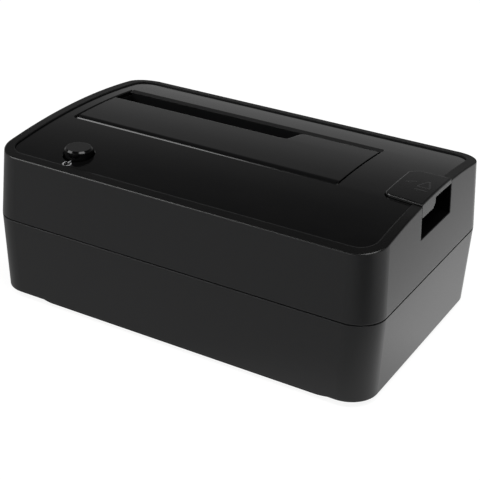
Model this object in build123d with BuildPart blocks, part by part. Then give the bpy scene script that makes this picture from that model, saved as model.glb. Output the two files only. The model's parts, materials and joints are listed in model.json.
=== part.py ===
from build123d import *
import math
import os

# Hard drive docking station: a two-part drafted housing with an arched top, a glossy panel let into it,
# a sprung flap over the drive bay, an eject button with its rocker, and the board with its connectors.
# The long side runs along X, the front faces -Y, and the feet stand on z = 0. All lengths in millimetres.

os.makedirs("parts", exist_ok=True)

# Drives, and the room that the housing leaves round their bay
drive_width = 101.6
drive_side_clearance = 1.3
bay_depth = 35.0
slot_length = 72.7
slot_depth = 10.1
left_zone = 9.4
right_zone = 31.4
front_zone = 36.0
port_room = 3.3

# Housing, outside
lower_shell_height = 28.0
upper_shell_height = 27.2
corner_radius = 10.0
top_corner_radius = 9.3
bottom_corner_radius = 9.9
top_draft = 1.65
bottom_draft = 0.93
crown_radius = 263.0
crown_offset = 2.7
top_edge_radius = 0.5

# Housing, walls and the joint between the shells
wall = 2.6
deck_thickness = 2.2
groove_height = 0.5
groove_depth = 0.8
lip_height = 1.6
lip_thickness = 1.1
lip_root = 3.5
lip_clearance = 0.15
overrun = 5.0

# Base plate and feet
foot_proud = 1.2
base_proud = 1.0
base_left_inset = 9.5
base_right_inset = 3.5
base_inset = 1.6
base_corner_radius = 15.0
base_flange = 1.5
plug_thickness = 2.2
plug_clearance = 0.15
foot_radius = 5.0
foot_thickness = 2.7
foot_clearance = 0.1
foot_edge_radius = 0.5
foot_left_inset = 17.5
foot_right_inset = 14.5
tube_bay_gap = 0.3
vent_length = 26.0
vent_width = 2.0
vent_pitch = 5.0
vent_count = 5

# Housing screws
screw_radius = 1.45
screw_hole_clearance = 0.25
screw_head_radius = 2.8
screw_head_height = 2.0
screw_head_clearance = 0.3
screw_length = 20.0
screw_pilot_clearance = 0.05
boss_radius = 3.4
tube_radius = 4.9
tube_waist_radius = 3.6
tube_foot_height = 2.2
tube_board_gap = 0.6
boss_meeting_height = 17.0
drive_recess_radius = 1.1
drive_recess_depth = 1.0
drive_recess_sides = 6

# Glossy top panel
rim_width = 3.3
panel_corner_radius = 6.1
panel_recess = 0.5
panel_thickness = 1.8
panel_clearance = 0.15
panel_edge = 0.35

# Drive bay opening
ledge_width = 1.8
ledge_step = 0.5
bay_corner_radius = 0.8
bay_wall = 1.8
bay_set_back = 0.4
collar_drop = 10.4
bay_floor_top = 15.5
bay_floor_thickness = 2.0
bay_shelf_height = 20.2
drive_zone_front = 1.6

# Ears and screws that hang the bay from the deck
ear_radius = 4.0
ear_thickness = 2.4
ear_reach = 5.0
ear_left = 22.0
ear_right = 20.0
bay_screw_radius = 1.25
bay_screw_head_radius = 2.4
bay_screw_head_height = 1.6
bay_screw_length = 6.0

# Flap over the bay
flap_step = 0.1
flap_thickness = 2.0
barrel_radius = 3.0
barrel_gap = 0.4
flap_side_gap = 0.5
flap_back_gap = 1.3
slot_lean = 1.6
slot_corner_radius = 1.5
knuckle_gap_width = 9.0
knuckle_gap_place = 24.0
pin_radius = 1.0
pin_clearance = 0.05
pin_seat = 1.4
flap_rib_height = 1.2
flap_rib_width = 1.2
flap_rib_shares = (0.0, 0.3, 0.6, 0.9)

# Flap spring
torsion_wire = 0.5
torsion_coil_clearance = 0.15
torsion_roof_gap = 0.25
torsion_turns = 5.25
torsion_pitch = 0.72
torsion_leg_gap = 0.1

# Eject button, its well and its stem
eject_inset = 15.5
eject_front = 10.9
eject_slant = 1.6
eject_front_radius = 2.5
eject_back = 13.3
eject_corner = 2.8
eject_corner_radius = 1.2
eject_proud = 0.6
eject_plate = 1.8
eject_skirt_depth = 4.6
eject_skirt_width = 10.9
eject_skirt_corner = 1.6
eject_skirt_thickness = 1.6
eject_edge_radius = 0.6
eject_travel = 7.0
well_gap = 0.3
well_wall = 1.6
well_floor_top = 45.6
stem_inset = 10.5
stem_radius = 2.2
stem_clearance = 0.1
stem_root_radius = 3.4
stem_root_height = 3.0
clip_radius = 4.2
clip_thickness = 1.2
clip_groove_depth = 0.5
clip_gap = 0.3
stem_tip_gap = 0.15
guide_rocker_gap = 0.9
guide_thickness = 2.4
guide_radius = 5.4
guide_half_width = 4.0

# Eject spring
coil_wire = 0.8
wire_sides = 6
coil_clearance = 0.35
coil_turns = 6
coil_end_gap = 0.05

# Eject rocker
rocker_y = 3.0
rocker_pivot_height = 11.3
rocker_arm = 34.0
rocker_width = 8.0
rocker_thickness = 2.6
rocker_nose_radius = 1.8
rocker_hub_radius = 2.2
rocker_pin_radius = 1.0
rocker_side_gap = 0.4
bracket_thickness = 1.8
bracket_radius = 2.3
lift_slot_gap = 0.8
wall_slot_top = 17.6

# Power button, switch and switch board
power_left_inset = 28.3
power_front_inset = 13.8
power_radius = 4.8
power_hole_radius = 5.25
power_proud = 2.5
power_edge = 0.6
power_travel = 1.5
power_skirt_radius = 6.6
power_skirt_thickness = 1.0
power_skirt_gap = 0.1
switch_side = 6.0
switch_height = 3.4
switch_corner_radius = 0.4
plunger_radius = 1.7
plunger_clearance = 0.05
plunger_rest = 0.5
plunger_depth = 1.2
switch_board_length = 21.0
switch_board_width = 14.0
switch_board_thickness = 1.6
switch_board_shift = 4.6
switch_screw_radius = 0.9
switch_screw_head_radius = 1.7
switch_screw_head_height = 1.1
switch_screw_length = 5.0
led_radius = 1.0
led_height = 1.4
led_offset = 6.3
switch_post_radius = 2.0
switch_post_shift = 10.4
switch_post_spacing = 9.4

# Main board
board_standoff = 2.6
board_thickness = 1.6
board_inset = 6.0
board_right_inset = 42.5
board_front_inset = 20.0
board_corner = 2.0
standoff_radius = 3.0
board_screw_radius = 1.2
board_screw_head_radius = 2.3
board_screw_head_height = 1.4
board_screw_length = 4.0
board_screw_side_inset = 9.0
board_screw_back_left_inset = 20.0
board_screw_inset = 6.0
board_screw_back_inset = 4.0

# Drive connector
connector_inset = 22.1
connector_back_gap = 4.0
connector_length = 42.0
connector_width = 6.4
connector_body_top = 17.0
tongue_top = 22.0
tongue_thickness = 1.3
power_tongue_length = 20.8
data_tongue_length = 10.4
tongue_separation = 2.4
connector_clearance = 0.4

# Rear sockets
usb_from_left = 54.5
usb_width = 12.0
usb_height = 10.9
usb_depth = 15.5
usb_mouth_width = 8.6
usb_mouth_height = 7.9
usb_mouth_depth = 9.5
usb_mouth_chamfer = 1.8
usb_tongue_width = 5.6
usb_tongue_height = 3.2
usb_tongue_gap = 0.6
jack_from_left = 30.5
jack_width = 9.0
jack_height = 11.0
jack_body_depth = 12.0
jack_snout_radius = 3.9
jack_bore_radius = 3.1
jack_bore_depth = 9.5
jack_pin_radius = 1.0
jack_axis_height = 6.3
port_clearance = 0.3
port_set_back = 0.4

# Parts soldered to the main board
bridge_chip_side = 10.0
bridge_chip_height = 1.4
bridge_chip_lead_count = 8
bridge_chip_from_left = 26.5
bridge_chip_from_back = 32.0
flash_chip_length = 5.2
flash_chip_width = 4.0
flash_chip_height = 1.6
flash_chip_lead_count = 4
flash_chip_from_left = 39.5
flash_chip_from_back = 28.0
lead_width = 0.4
lead_length = 1.2
lead_height = 0.5
lead_pitch = 1.2
crystal_length = 11.0
crystal_width = 4.4
crystal_height = 3.6
crystal_from_left = 14.5
crystal_from_back = 38.0
capacitor_radius = 3.2
capacitor_height = 11.0
capacitor_groove = 0.3
capacitor_groove_height = 1.2
capacitor_pitch = 8.0
capacitor_count = 3
capacitor_from_left = 62.5
inductor_side = 7.4
inductor_height = 4.2
inductor_from_left = 46.5
power_row_from_front = 6.0
inductor_corner = 1.6
header_length = 8.0
header_width = 4.6
header_height = 5.0

# Flat cable from the switch board to the main board
ribbon_width = 6.0
ribbon_thickness = 1.0
ribbon_offset = 11.1
ribbon_from_front = 5.0
ribbon_bend_radius = 5.0
ribbon_straight = 8.0

# Heights and places that follow from the sizes above
housing_bottom = foot_proud + base_proud
split_height = housing_bottom + lower_shell_height
crown_height = split_height + upper_shell_height
upper_bottom = split_height + groove_height / 2
lower_rim_top = split_height - groove_height / 2
panel_seat = panel_recess + panel_thickness
ledge_recess = panel_recess + ledge_step
flap_recess = panel_recess + flap_step
deck_bottom = panel_seat + deck_thickness
bay_length = drive_width + 2 * drive_side_clearance
back_zone = usb_depth + port_set_back + bay_wall + port_room
housing_length = left_zone + bay_length + right_zone
housing_depth = front_zone + bay_depth + back_zone
half_length = housing_length / 2
half_depth = housing_depth / 2
bay_left = half_length - left_zone
bay_right = half_length - right_zone
bay_front = half_depth - front_zone
bay_back = half_depth - back_zone
opening_back = bay_back + ledge_width
collar_bottom_height = crown_height - collar_drop
slot_right = slot_length - bay_left
slot_front = bay_back - slot_depth
base_left = half_length - base_left_inset
base_right = half_length - base_right_inset
foot_left = half_length - foot_left_inset
foot_right = half_length - foot_right_inset
foot_row = bay_back + bay_wall + tube_bay_gap + tube_radius
eject_left = half_length - eject_inset
stem_place = half_length - stem_inset
rocker_place = stem_place - rocker_arm
guide_bottom = rocker_pivot_height + eject_travel + rocker_nose_radius + guide_rocker_gap
guide_top_height = guide_bottom + guide_thickness
power_x = half_length - power_left_inset
power_y = half_depth - power_front_inset
board_left = half_length - board_inset
board_right = half_length - board_right_inset
board_front = half_depth - board_front_inset
board_back = half_depth - board_inset
connector_x = bay_left - connector_inset
connector_y = bay_back - connector_back_gap
usb_x = board_left - usb_from_left
jack_x = board_left - jack_from_left
bridge_chip_x = board_left - bridge_chip_from_left
bridge_chip_y = board_back - bridge_chip_from_back
flash_chip_x = board_left - flash_chip_from_left
flash_chip_y = board_back - flash_chip_from_back
crystal_x = board_left - crystal_from_left
crystal_y = board_back - crystal_from_back
capacitor_x = board_left - capacitor_from_left
inductor_x = board_left - inductor_from_left
power_row_y = board_front - power_row_from_front
ribbon_x = power_x - ribbon_offset
ribbon_board_y = board_front - ribbon_from_front
base_bottom = foot_proud
floor_top = housing_bottom + plug_thickness
board_bottom = floor_top + board_standoff
board_top = board_bottom + board_thickness
bay_middle = (bay_right - bay_left) / 2
foot_places = [(x, y) for x in (-foot_left, foot_right) for y in (-foot_row, foot_row)]


def crown_drop(y):
    """How far the arched top lies below its highest line, at the distance y from the middle."""
    return crown_radius - math.sqrt(crown_radius**2 - (y - crown_offset) ** 2)


def top_height(y, lowered):
    """Height of the arched top at y, lowered by a recess."""
    return crown_height - crown_drop(y) - lowered


def side_draw(z):
    """How far the drafted side is drawn in at the height z, from its widest line at the joint."""
    if z >= split_height:
        return top_draft * (z - split_height) / upper_shell_height
    return bottom_draft * (split_height - z) / lower_shell_height


def side_radius(z):
    """Radius of the housing's upright corners at the height z."""
    if z >= split_height:
        share = (z - split_height) / upper_shell_height
        return corner_radius + (top_corner_radius - corner_radius) * share
    share = (split_height - z) / lower_shell_height
    return corner_radius + (bottom_corner_radius - corner_radius) * share


def drafted_block(low, high, inset):
    """Solid between two heights that follows the drafted sides, drawn in by a wall."""
    with BuildPart() as block:
        for z in (low, high):
            with BuildSketch(Plane.XY.offset(z)):
                draw = 2 * (inset + side_draw(z))
                RectangleRounded(housing_length - draw, housing_depth - draw, side_radius(z) - inset)
        loft(ruled=True)
    return block.part


def above_arch(lowered):
    """Everything above the arched top surface once that is lowered."""
    reach = half_depth + overrun
    with BuildPart() as block:
        with BuildSketch(Plane.YZ.offset(-housing_length)):
            with BuildLine():
                start = (-reach, top_height(-reach, lowered))
                middle = (crown_offset, crown_height - lowered)
                finish = (reach, top_height(reach, lowered))
                ThreePointArc(start, middle, finish)
                Polyline(
                    finish,
                    (reach, crown_height + overrun),
                    (-reach, crown_height + overrun),
                    start,
                )
            make_face()
        extrude(amount=2 * housing_length)
    return block.part


def box_between(x_range, y_range, z_range, corner=0):
    """Upright block between two corners, its four upright edges rounded if a radius is given."""
    with BuildPart() as block:
        with BuildSketch(Plane.XY.offset(z_range[0])):
            with Locations((sum(x_range) / 2, sum(y_range) / 2)):
                if corner > 0:
                    RectangleRounded(x_range[1] - x_range[0], y_range[1] - y_range[0], corner)
                else:
                    Rectangle(x_range[1] - x_range[0], y_range[1] - y_range[0])
        extrude(amount=z_range[1] - z_range[0])
    return block.part


def column(places, radius, low, high):
    """Upright round columns at a list of places, between two heights."""
    with BuildPart() as block:
        with BuildSketch(Plane.XY.offset(low)):
            with Locations(*places):
                Circle(radius)
        extrude(amount=high - low)
    return block.part


def screw_group(places, seat, radius, length, head_radius, head_height, upwards):
    """Pan-head screws: a shank from the seat, a rounded head on its other side, a driver recess in it."""
    way = 1 if upwards else -1
    with BuildPart() as screws:
        for x, y in places:
            with BuildSketch(Plane.XZ.offset(-y)):
                with BuildLine():
                    rounding = head_height / 2
                    Polyline(
                        (x, seat + way * length),
                        (x + radius, seat + way * length),
                        (x + radius, seat),
                        (x + head_radius, seat),
                        (x + head_radius, seat - way * (head_height - rounding)),
                        (x + head_radius - rounding, seat - way * head_height),
                        (x, seat - way * head_height),
                        (x, seat + way * length),
                    )
                make_face()
            revolve(axis=Axis((x, y, 0), (0, 0, 1)))
        with BuildSketch(Plane.XY.offset(seat - way * head_height)):
            with Locations(*places):
                RegularPolygon(drive_recess_radius, drive_recess_sides)
        extrude(amount=way * drive_recess_depth, mode=Mode.SUBTRACT)
    return screws.part


def gull_wing_leads(x, y, half_span, count, base):
    """Two rows of chip leads along the sides at x plus and minus the half span."""
    with BuildPart() as leads:
        for side in (-1, 1):
            with BuildSketch(Plane.XY.offset(base)):
                with Locations((x + side * (half_span + lead_length / 2), y)):
                    with GridLocations(0, lead_pitch, 1, count):
                        Rectangle(lead_length, lead_width)
            extrude(amount=lead_height)
    return leads.part


def cap_block(gap, low, high):
    """Upright block on the eject button's plan, widened by a gap, that runs out past the side wall."""
    left = eject_left - gap
    front = -eject_front - gap
    back = eject_back + gap
    outside = half_length + overrun
    with BuildPart() as block:
        with BuildSketch(Plane.XY.offset(low)):
            with BuildLine():
                edge = FilletPolyline(
                    (outside, front),
                    (half_length, front),
                    (left, front + eject_slant),
                    (left, back - eject_corner),
                    (left + eject_corner, back),
                    (outside, back),
                    radius=[eject_corner_radius, eject_front_radius, eject_corner_radius, eject_corner_radius],
                )
                Line(edge @ 1, edge @ 0)
            make_face()
        extrude(amount=high - low)
    return block.part


# Blocks that several pieces share
sky = above_arch(0)
sky_at_panel = above_arch(panel_recess)
sky_at_seat = above_arch(panel_seat)
sky_at_deck = above_arch(deck_bottom)
sky_at_ledge = above_arch(ledge_recess)
top_length = housing_length - 2 * side_draw(crown_height)
top_depth = housing_depth - 2 * side_draw(crown_height)
well_y = (-eject_front - well_gap, eject_back + well_gap)
well_x = (eject_left - well_gap, half_length + overrun)
well_cut = cap_block(well_gap, well_floor_top, crown_height + overrun)
cap_place = [(-power_x, -power_y)]
panel_level_at_power = top_height(-power_y, panel_recess)
bay_screw_places = [
    (x, y)
    for x in (-ear_left, ear_right)
    for y in (-bay_front - bay_set_back - bay_wall - ear_reach, bay_back + bay_wall + ear_reach)
]
pivot_y = -bay_front + barrel_gap + barrel_radius
pivot_z = top_height(pivot_y, flap_recess) - barrel_radius
plunger_proud = power_travel + plunger_rest
rocker_angle = math.degrees(math.asin(eject_travel / rocker_arm))
power_skirt_top = top_height(-power_y - power_skirt_radius, deck_bottom) - power_skirt_gap
power_skirt_bottom = power_skirt_top - power_skirt_thickness
switch_top = power_skirt_bottom - plunger_proud
switch_board_top = switch_top - switch_height
post_places = [
    (-power_x + switch_post_shift, -power_y + side * switch_post_spacing / 2) for side in (-1, 1)
]


# Upper housing: drafted shell under an arched top, with a rim round the seat of the glossy panel
upper_outside = drafted_block(upper_bottom, crown_height + overrun, 0)
upper_cavity = drafted_block(split_height, crown_height, wall)
collar_x = (-bay_left - bay_wall, bay_right + bay_wall)
collar_y = (-bay_front - bay_set_back - bay_wall, bay_back + bay_wall)
collar_hollow_y = (-bay_front - bay_set_back, bay_back)
collar_block = box_between(collar_x, collar_y, (collar_bottom_height, crown_height + overrun))
collar_cut = box_between(
    (-bay_left, bay_right), collar_hollow_y, (collar_bottom_height - overrun, crown_height + overrun)
)
well_block = box_between(
    (well_x[0] - well_wall, half_length),
    (well_y[0] - well_wall, well_y[1] + well_wall),
    (well_floor_top - well_wall, crown_height),
)
boss_columns = column(foot_places, boss_radius, boss_meeting_height, crown_height)
bay_boss_columns = column(bay_screw_places, ear_radius, collar_bottom_height, crown_height)
post_columns = column(post_places, switch_post_radius, switch_board_top, crown_height)
ledge_block = box_between(
    (-bay_left + bay_corner_radius, bay_right - bay_corner_radius),
    (bay_back, opening_back - panel_clearance),
    (collar_bottom_height, crown_height),
)
with BuildPart() as seat_pocket:
    with BuildSketch(Plane.XY.offset(split_height)):
        RectangleRounded(top_length - 2 * rim_width, top_depth - 2 * rim_width, panel_corner_radius)
    extrude(amount=upper_shell_height + overrun)
    add(sky_at_seat, mode=Mode.INTERSECT)
with BuildPart() as fittings:
    add(collar_block)
    add(well_block)
    add(boss_columns)
    add(bay_boss_columns)
    add(post_columns)
    add(upper_outside, mode=Mode.INTERSECT)
    add(sky_at_deck, mode=Mode.SUBTRACT)
with BuildPart() as upper_housing:
    add(upper_outside)
    add(sky, mode=Mode.SUBTRACT)
    rim_edges = upper_housing.faces().sort_by(Axis.Z)[-1].edges()
    fillet(rim_edges, top_edge_radius)
    add(upper_cavity - sky_at_deck, mode=Mode.SUBTRACT)
    add(fittings.part)
    add(seat_pocket.part, mode=Mode.SUBTRACT)
    add(ledge_block - sky_at_ledge)
    add(collar_cut, mode=Mode.SUBTRACT)
    add(well_cut, mode=Mode.SUBTRACT)
    with BuildSketch(Plane.XY.offset(well_floor_top - well_wall - overrun)):
        with Locations((stem_place, 0)):
            Circle(stem_radius + stem_clearance)
    extrude(amount=well_wall + 2 * overrun, mode=Mode.SUBTRACT)
    with BuildSketch(Plane.XY.offset(switch_board_top)):
        with Locations(*cap_place):
            Circle(power_hole_radius)
    extrude(amount=crown_height, mode=Mode.SUBTRACT)
    with BuildSketch(Plane.XY.offset(boss_meeting_height)):
        with Locations(*foot_places):
            Circle(screw_radius + screw_pilot_clearance)
    extrude(amount=screw_length, mode=Mode.SUBTRACT)
    with BuildSketch(Plane.XY.offset(collar_bottom_height)):
        with Locations(*bay_screw_places):
            Circle(bay_screw_radius + screw_pilot_clearance)
    extrude(amount=bay_screw_length, mode=Mode.SUBTRACT)
    with BuildSketch(Plane.XY.offset(switch_board_top)):
        with Locations(*post_places):
            Circle(switch_screw_radius + screw_pilot_clearance)
    extrude(amount=switch_screw_length, mode=Mode.SUBTRACT)
    with BuildSketch(Plane.YZ.offset(-bay_left - pin_seat)):
        with Locations((pivot_y, pivot_z)):
            Circle(pin_radius)
    extrude(amount=bay_length + 2 * pin_seat, mode=Mode.SUBTRACT)
upper_housing.part.label = "upper_housing"
export_step(upper_housing.part, "parts/upper_housing.step")


# Top panel: arched glossy inlay with openings for the bay, the power button and the eject button
panel_inset = 2 * (rim_width + panel_clearance)
with BuildPart() as top_panel:
    with BuildSketch(Plane.XY.offset(split_height)):
        RectangleRounded(
            top_length - panel_inset, top_depth - panel_inset, panel_corner_radius - panel_clearance
        )
    extrude(amount=upper_shell_height + overrun)
    add(sky_at_seat, mode=Mode.INTERSECT)
    add(sky_at_panel, mode=Mode.SUBTRACT)
    with BuildSketch(Plane.XY.offset(split_height)):
        with Locations((bay_middle, (opening_back - bay_front) / 2)):
            RectangleRounded(bay_length, opening_back + bay_front, bay_corner_radius)
        with Locations(*cap_place):
            Circle(power_hole_radius)
    extrude(amount=upper_shell_height, mode=Mode.SUBTRACT)
    add(well_cut, mode=Mode.SUBTRACT)
    top_face = top_panel.faces().sort_by(Axis.Z)[-1]
    chamfer(top_face.inner_wires().edges(), panel_edge)
top_panel.part.label = "top_panel"
export_step(top_panel.part, "parts/top_panel.step")


# Lower housing: drafted ring that opens downwards, with the locating lip and the cut-outs for the sockets
opening_x = (-base_left + base_flange, base_right - base_flange)
opening_y = half_depth - base_inset - base_flange
usb_bottom = board_top
jack_axis = board_top + jack_axis_height
lower_outside = drafted_block(housing_bottom, lower_rim_top, 0)
lower_rim = drafted_block(lower_rim_top, upper_bottom, groove_depth)
lower_cavity = drafted_block(floor_top, split_height, wall)
rim_cavity = drafted_block(split_height, upper_bottom + overrun, wall)
lip_outside = drafted_block(upper_bottom - lip_root, upper_bottom + lip_height, wall + lip_clearance)
lip_neck = drafted_block(upper_bottom - lip_root, upper_bottom, wall - lip_clearance)
lip_inside = drafted_block(
    upper_bottom - lip_root - overrun,
    upper_bottom + lip_height + overrun,
    wall + lip_clearance + lip_thickness,
)
with BuildPart() as lower_housing:
    add(lower_outside)
    add(lower_rim)
    add(lower_cavity, mode=Mode.SUBTRACT)
    add(rim_cavity, mode=Mode.SUBTRACT)
    add(lip_outside)
    add(lip_neck)
    add(lip_inside, mode=Mode.SUBTRACT)
    with BuildSketch(Plane.XY):
        with Locations((sum(opening_x) / 2, 0)):
            RectangleRounded(opening_x[1] - opening_x[0], 2 * opening_y, base_corner_radius - base_flange)
    extrude(amount=floor_top + overrun, mode=Mode.SUBTRACT)
    with BuildSketch(Plane.XZ.offset(-half_depth - overrun)):
        with Locations((-usb_x, usb_bottom + usb_height / 2)):
            Rectangle(usb_width + 2 * port_clearance, usb_height + 2 * port_clearance)
        with Locations((-jack_x, jack_axis)):
            Circle(jack_snout_radius + port_clearance)
    extrude(amount=2 * overrun + wall, mode=Mode.SUBTRACT)
lower_housing.part.label = "lower_housing"
export_step(lower_housing.part, "parts/lower_housing.step")


# Base plate: flange under the housing, plug in its opening, screw tubes, board standoffs and vents
base_middle = (base_right - base_left) / 2
base_length = base_right + base_left
base_depth = 2 * (half_depth - base_inset)
tube_top = boss_meeting_height
head_seat = base_bottom + foot_thickness - foot_proud + screw_head_height + screw_head_clearance
board_screw_places = [
    (board_screw_side_inset - board_left, board_screw_inset - board_front),
    (board_right - board_screw_inset, board_screw_inset - board_front),
    (board_screw_back_left_inset - board_left, board_back - board_screw_back_inset),
    (board_right - board_screw_inset, board_back - board_screw_back_inset),
]
with BuildPart() as base_plate:
    with BuildSketch(Plane.XY.offset(base_bottom)):
        with Locations((base_middle, 0)):
            RectangleRounded(base_length, base_depth, base_corner_radius)
    extrude(amount=base_proud)
    with BuildSketch(Plane.XY.offset(base_bottom)):
        with Locations((base_middle, 0)):
            fit_in = 2 * (base_flange + plug_clearance)
            plug_corner = base_corner_radius - base_flange - plug_clearance
            RectangleRounded(base_length - fit_in, base_depth - fit_in, plug_corner)
    extrude(amount=base_proud + plug_thickness)
    add(column(foot_places, tube_radius, base_bottom, floor_top + tube_foot_height))
    add(column(foot_places, tube_waist_radius, base_bottom, tube_top))
    add(column(board_screw_places, standoff_radius, base_bottom, board_bottom))
    with BuildSketch(Plane.XY):
        with Locations(*foot_places):
            Circle(foot_radius + foot_clearance)
    extrude(amount=foot_thickness, mode=Mode.SUBTRACT)
    with BuildSketch(Plane.XY):
        with Locations(*foot_places):
            Circle(screw_head_radius + screw_head_clearance)
    extrude(amount=head_seat, mode=Mode.SUBTRACT)
    with BuildSketch(Plane.XY):
        with Locations(*foot_places):
            Circle(screw_radius + screw_hole_clearance)
    extrude(amount=tube_top, mode=Mode.SUBTRACT)
    with BuildSketch(Plane.XY.offset(board_bottom)):
        with Locations(*board_screw_places):
            Circle(board_screw_radius + screw_pilot_clearance)
    extrude(amount=-board_screw_length, mode=Mode.SUBTRACT)
    with BuildSketch(Plane.XY):
        with GridLocations(0, vent_pitch, 1, vent_count):
            SlotOverall(vent_length, vent_width)
    extrude(amount=floor_top, mode=Mode.SUBTRACT)
base_plate.part.label = "base_plate"
export_step(base_plate.part, "parts/base_plate.step")


# Rubber feet, each pressed into its pocket under a housing screw
with BuildPart() as feet:
    with BuildSketch(Plane.XY):
        with Locations(*foot_places):
            Circle(foot_radius)
    extrude(amount=foot_thickness)
    fillet(feet.edges().group_by(Axis.Z)[0], foot_edge_radius)
feet.part.label = "rubber_feet"
export_step(feet.part, "parts/rubber_feet.step")


# Housing screws, up through the base plate's tubes into the bosses of the upper housing
housing_screws = screw_group(
    foot_places, head_seat, screw_radius, screw_length, screw_head_radius, screw_head_height, True
)
housing_screws.label = "housing_screws"
export_step(housing_screws, "parts/housing_screws.step")


# Drive bay: the well under the flap, narrower below the flap's swing, open for the connector and the lifter
bay_floor_bottom = bay_floor_top - bay_floor_thickness
shelf_front = -drive_zone_front
connector_x_range = (-connector_x - connector_length / 2, -connector_x + connector_length / 2)
connector_y_range = (connector_y - connector_width / 2, connector_y + connector_width / 2)
bracket_y = [
    rocker_y + side * (rocker_width / 2 + rocker_side_gap + bracket_thickness / 2) for side in (-1, 1)
]
lift_x = (rocker_place - rocker_arm - rocker_nose_radius - lift_slot_gap, bay_right + bay_wall)
wall_slot_x = (bay_right - overrun, bay_right + bay_wall)
lift_y = (rocker_y - rocker_width / 2 - rocker_side_gap, rocker_y + rocker_width / 2 + rocker_side_gap)
ear_y = (collar_y[0] - ear_reach, collar_y[1] + ear_reach)
with BuildPart() as drive_bay:
    add(box_between(collar_x, collar_y, (bay_shelf_height - bay_wall, collar_bottom_height)))
    add(box_between(
        collar_x, (shelf_front - bay_wall, collar_y[1]), (bay_floor_bottom, bay_shelf_height)
    ))
    add(box_between(
        (-bay_left, bay_right), collar_hollow_y, (bay_shelf_height, crown_height)
    ), mode=Mode.SUBTRACT)
    add(box_between(
        (-bay_left, bay_right), (shelf_front, bay_back), (bay_floor_top, crown_height)
    ), mode=Mode.SUBTRACT)
    for side, ear_side in ((0, -1), (1, 1)):
        for x in (-ear_left, ear_right):
            with BuildSketch(Plane.XY.offset(collar_bottom_height)):
                with Locations((x, ear_y[side])):
                    Circle(ear_radius)
                with Locations((x, ear_y[side] - ear_side * ear_reach / 2)):
                    Rectangle(2 * ear_radius, ear_reach)
            extrude(amount=-ear_thickness)
    with BuildSketch(Plane.XY.offset(guide_top_height)):
        with Locations((stem_place, 0)):
            Circle(guide_radius)
        with Locations(((bay_right + bay_wall + stem_place) / 2, 0)):
            Rectangle(stem_place - bay_right - bay_wall, 2 * guide_half_width)
    extrude(amount=-guide_thickness)
    for y in bracket_y:
        with BuildSketch(Plane.XZ.offset(-y - bracket_thickness / 2)):
            with Locations((rocker_place, rocker_pivot_height)):
                Circle(bracket_radius)
            with Locations((rocker_place, (rocker_pivot_height + bay_floor_top) / 2)):
                Rectangle(2 * bracket_radius, bay_floor_top - rocker_pivot_height)
        extrude(amount=bracket_thickness)
    with BuildSketch(Plane.XY.offset(guide_top_height)):
        with Locations((stem_place, 0)):
            Circle(stem_radius + stem_clearance)
    extrude(amount=-guide_thickness, mode=Mode.SUBTRACT)
    add(box_between(lift_x, lift_y, (0, bay_floor_top)), mode=Mode.SUBTRACT)
    add(box_between(wall_slot_x, lift_y, (0, wall_slot_top)), mode=Mode.SUBTRACT)
    add(box_between(
        (connector_x_range[0] - connector_clearance, connector_x_range[1] + connector_clearance),
        (connector_y_range[0] - connector_clearance, connector_y_range[1] + connector_clearance),
        (0, bay_floor_top),
    ), mode=Mode.SUBTRACT)
    with BuildSketch(Plane.XY.offset(collar_bottom_height)):
        with Locations(*bay_screw_places):
            Circle(bay_screw_radius + screw_hole_clearance)
    extrude(amount=-ear_thickness, mode=Mode.SUBTRACT)
    with BuildSketch(Plane.XZ.offset(-rocker_y - rocker_width)):
        with Locations((rocker_place, rocker_pivot_height)):
            Circle(rocker_pin_radius)
    extrude(amount=2 * rocker_width, mode=Mode.SUBTRACT)
drive_bay.part.label = "drive_bay"
export_step(drive_bay.part, "parts/drive_bay.step")


# Bay screws, up through the ears into the deck's bosses
bay_screws = screw_group(
    bay_screw_places,
    collar_bottom_height - ear_thickness,
    bay_screw_radius,
    ear_thickness + bay_screw_length / 2,
    bay_screw_head_radius,
    bay_screw_head_height,
    True,
)
bay_screws.label = "bay_screws"
export_step(bay_screws, "parts/bay_screws.step")


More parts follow.
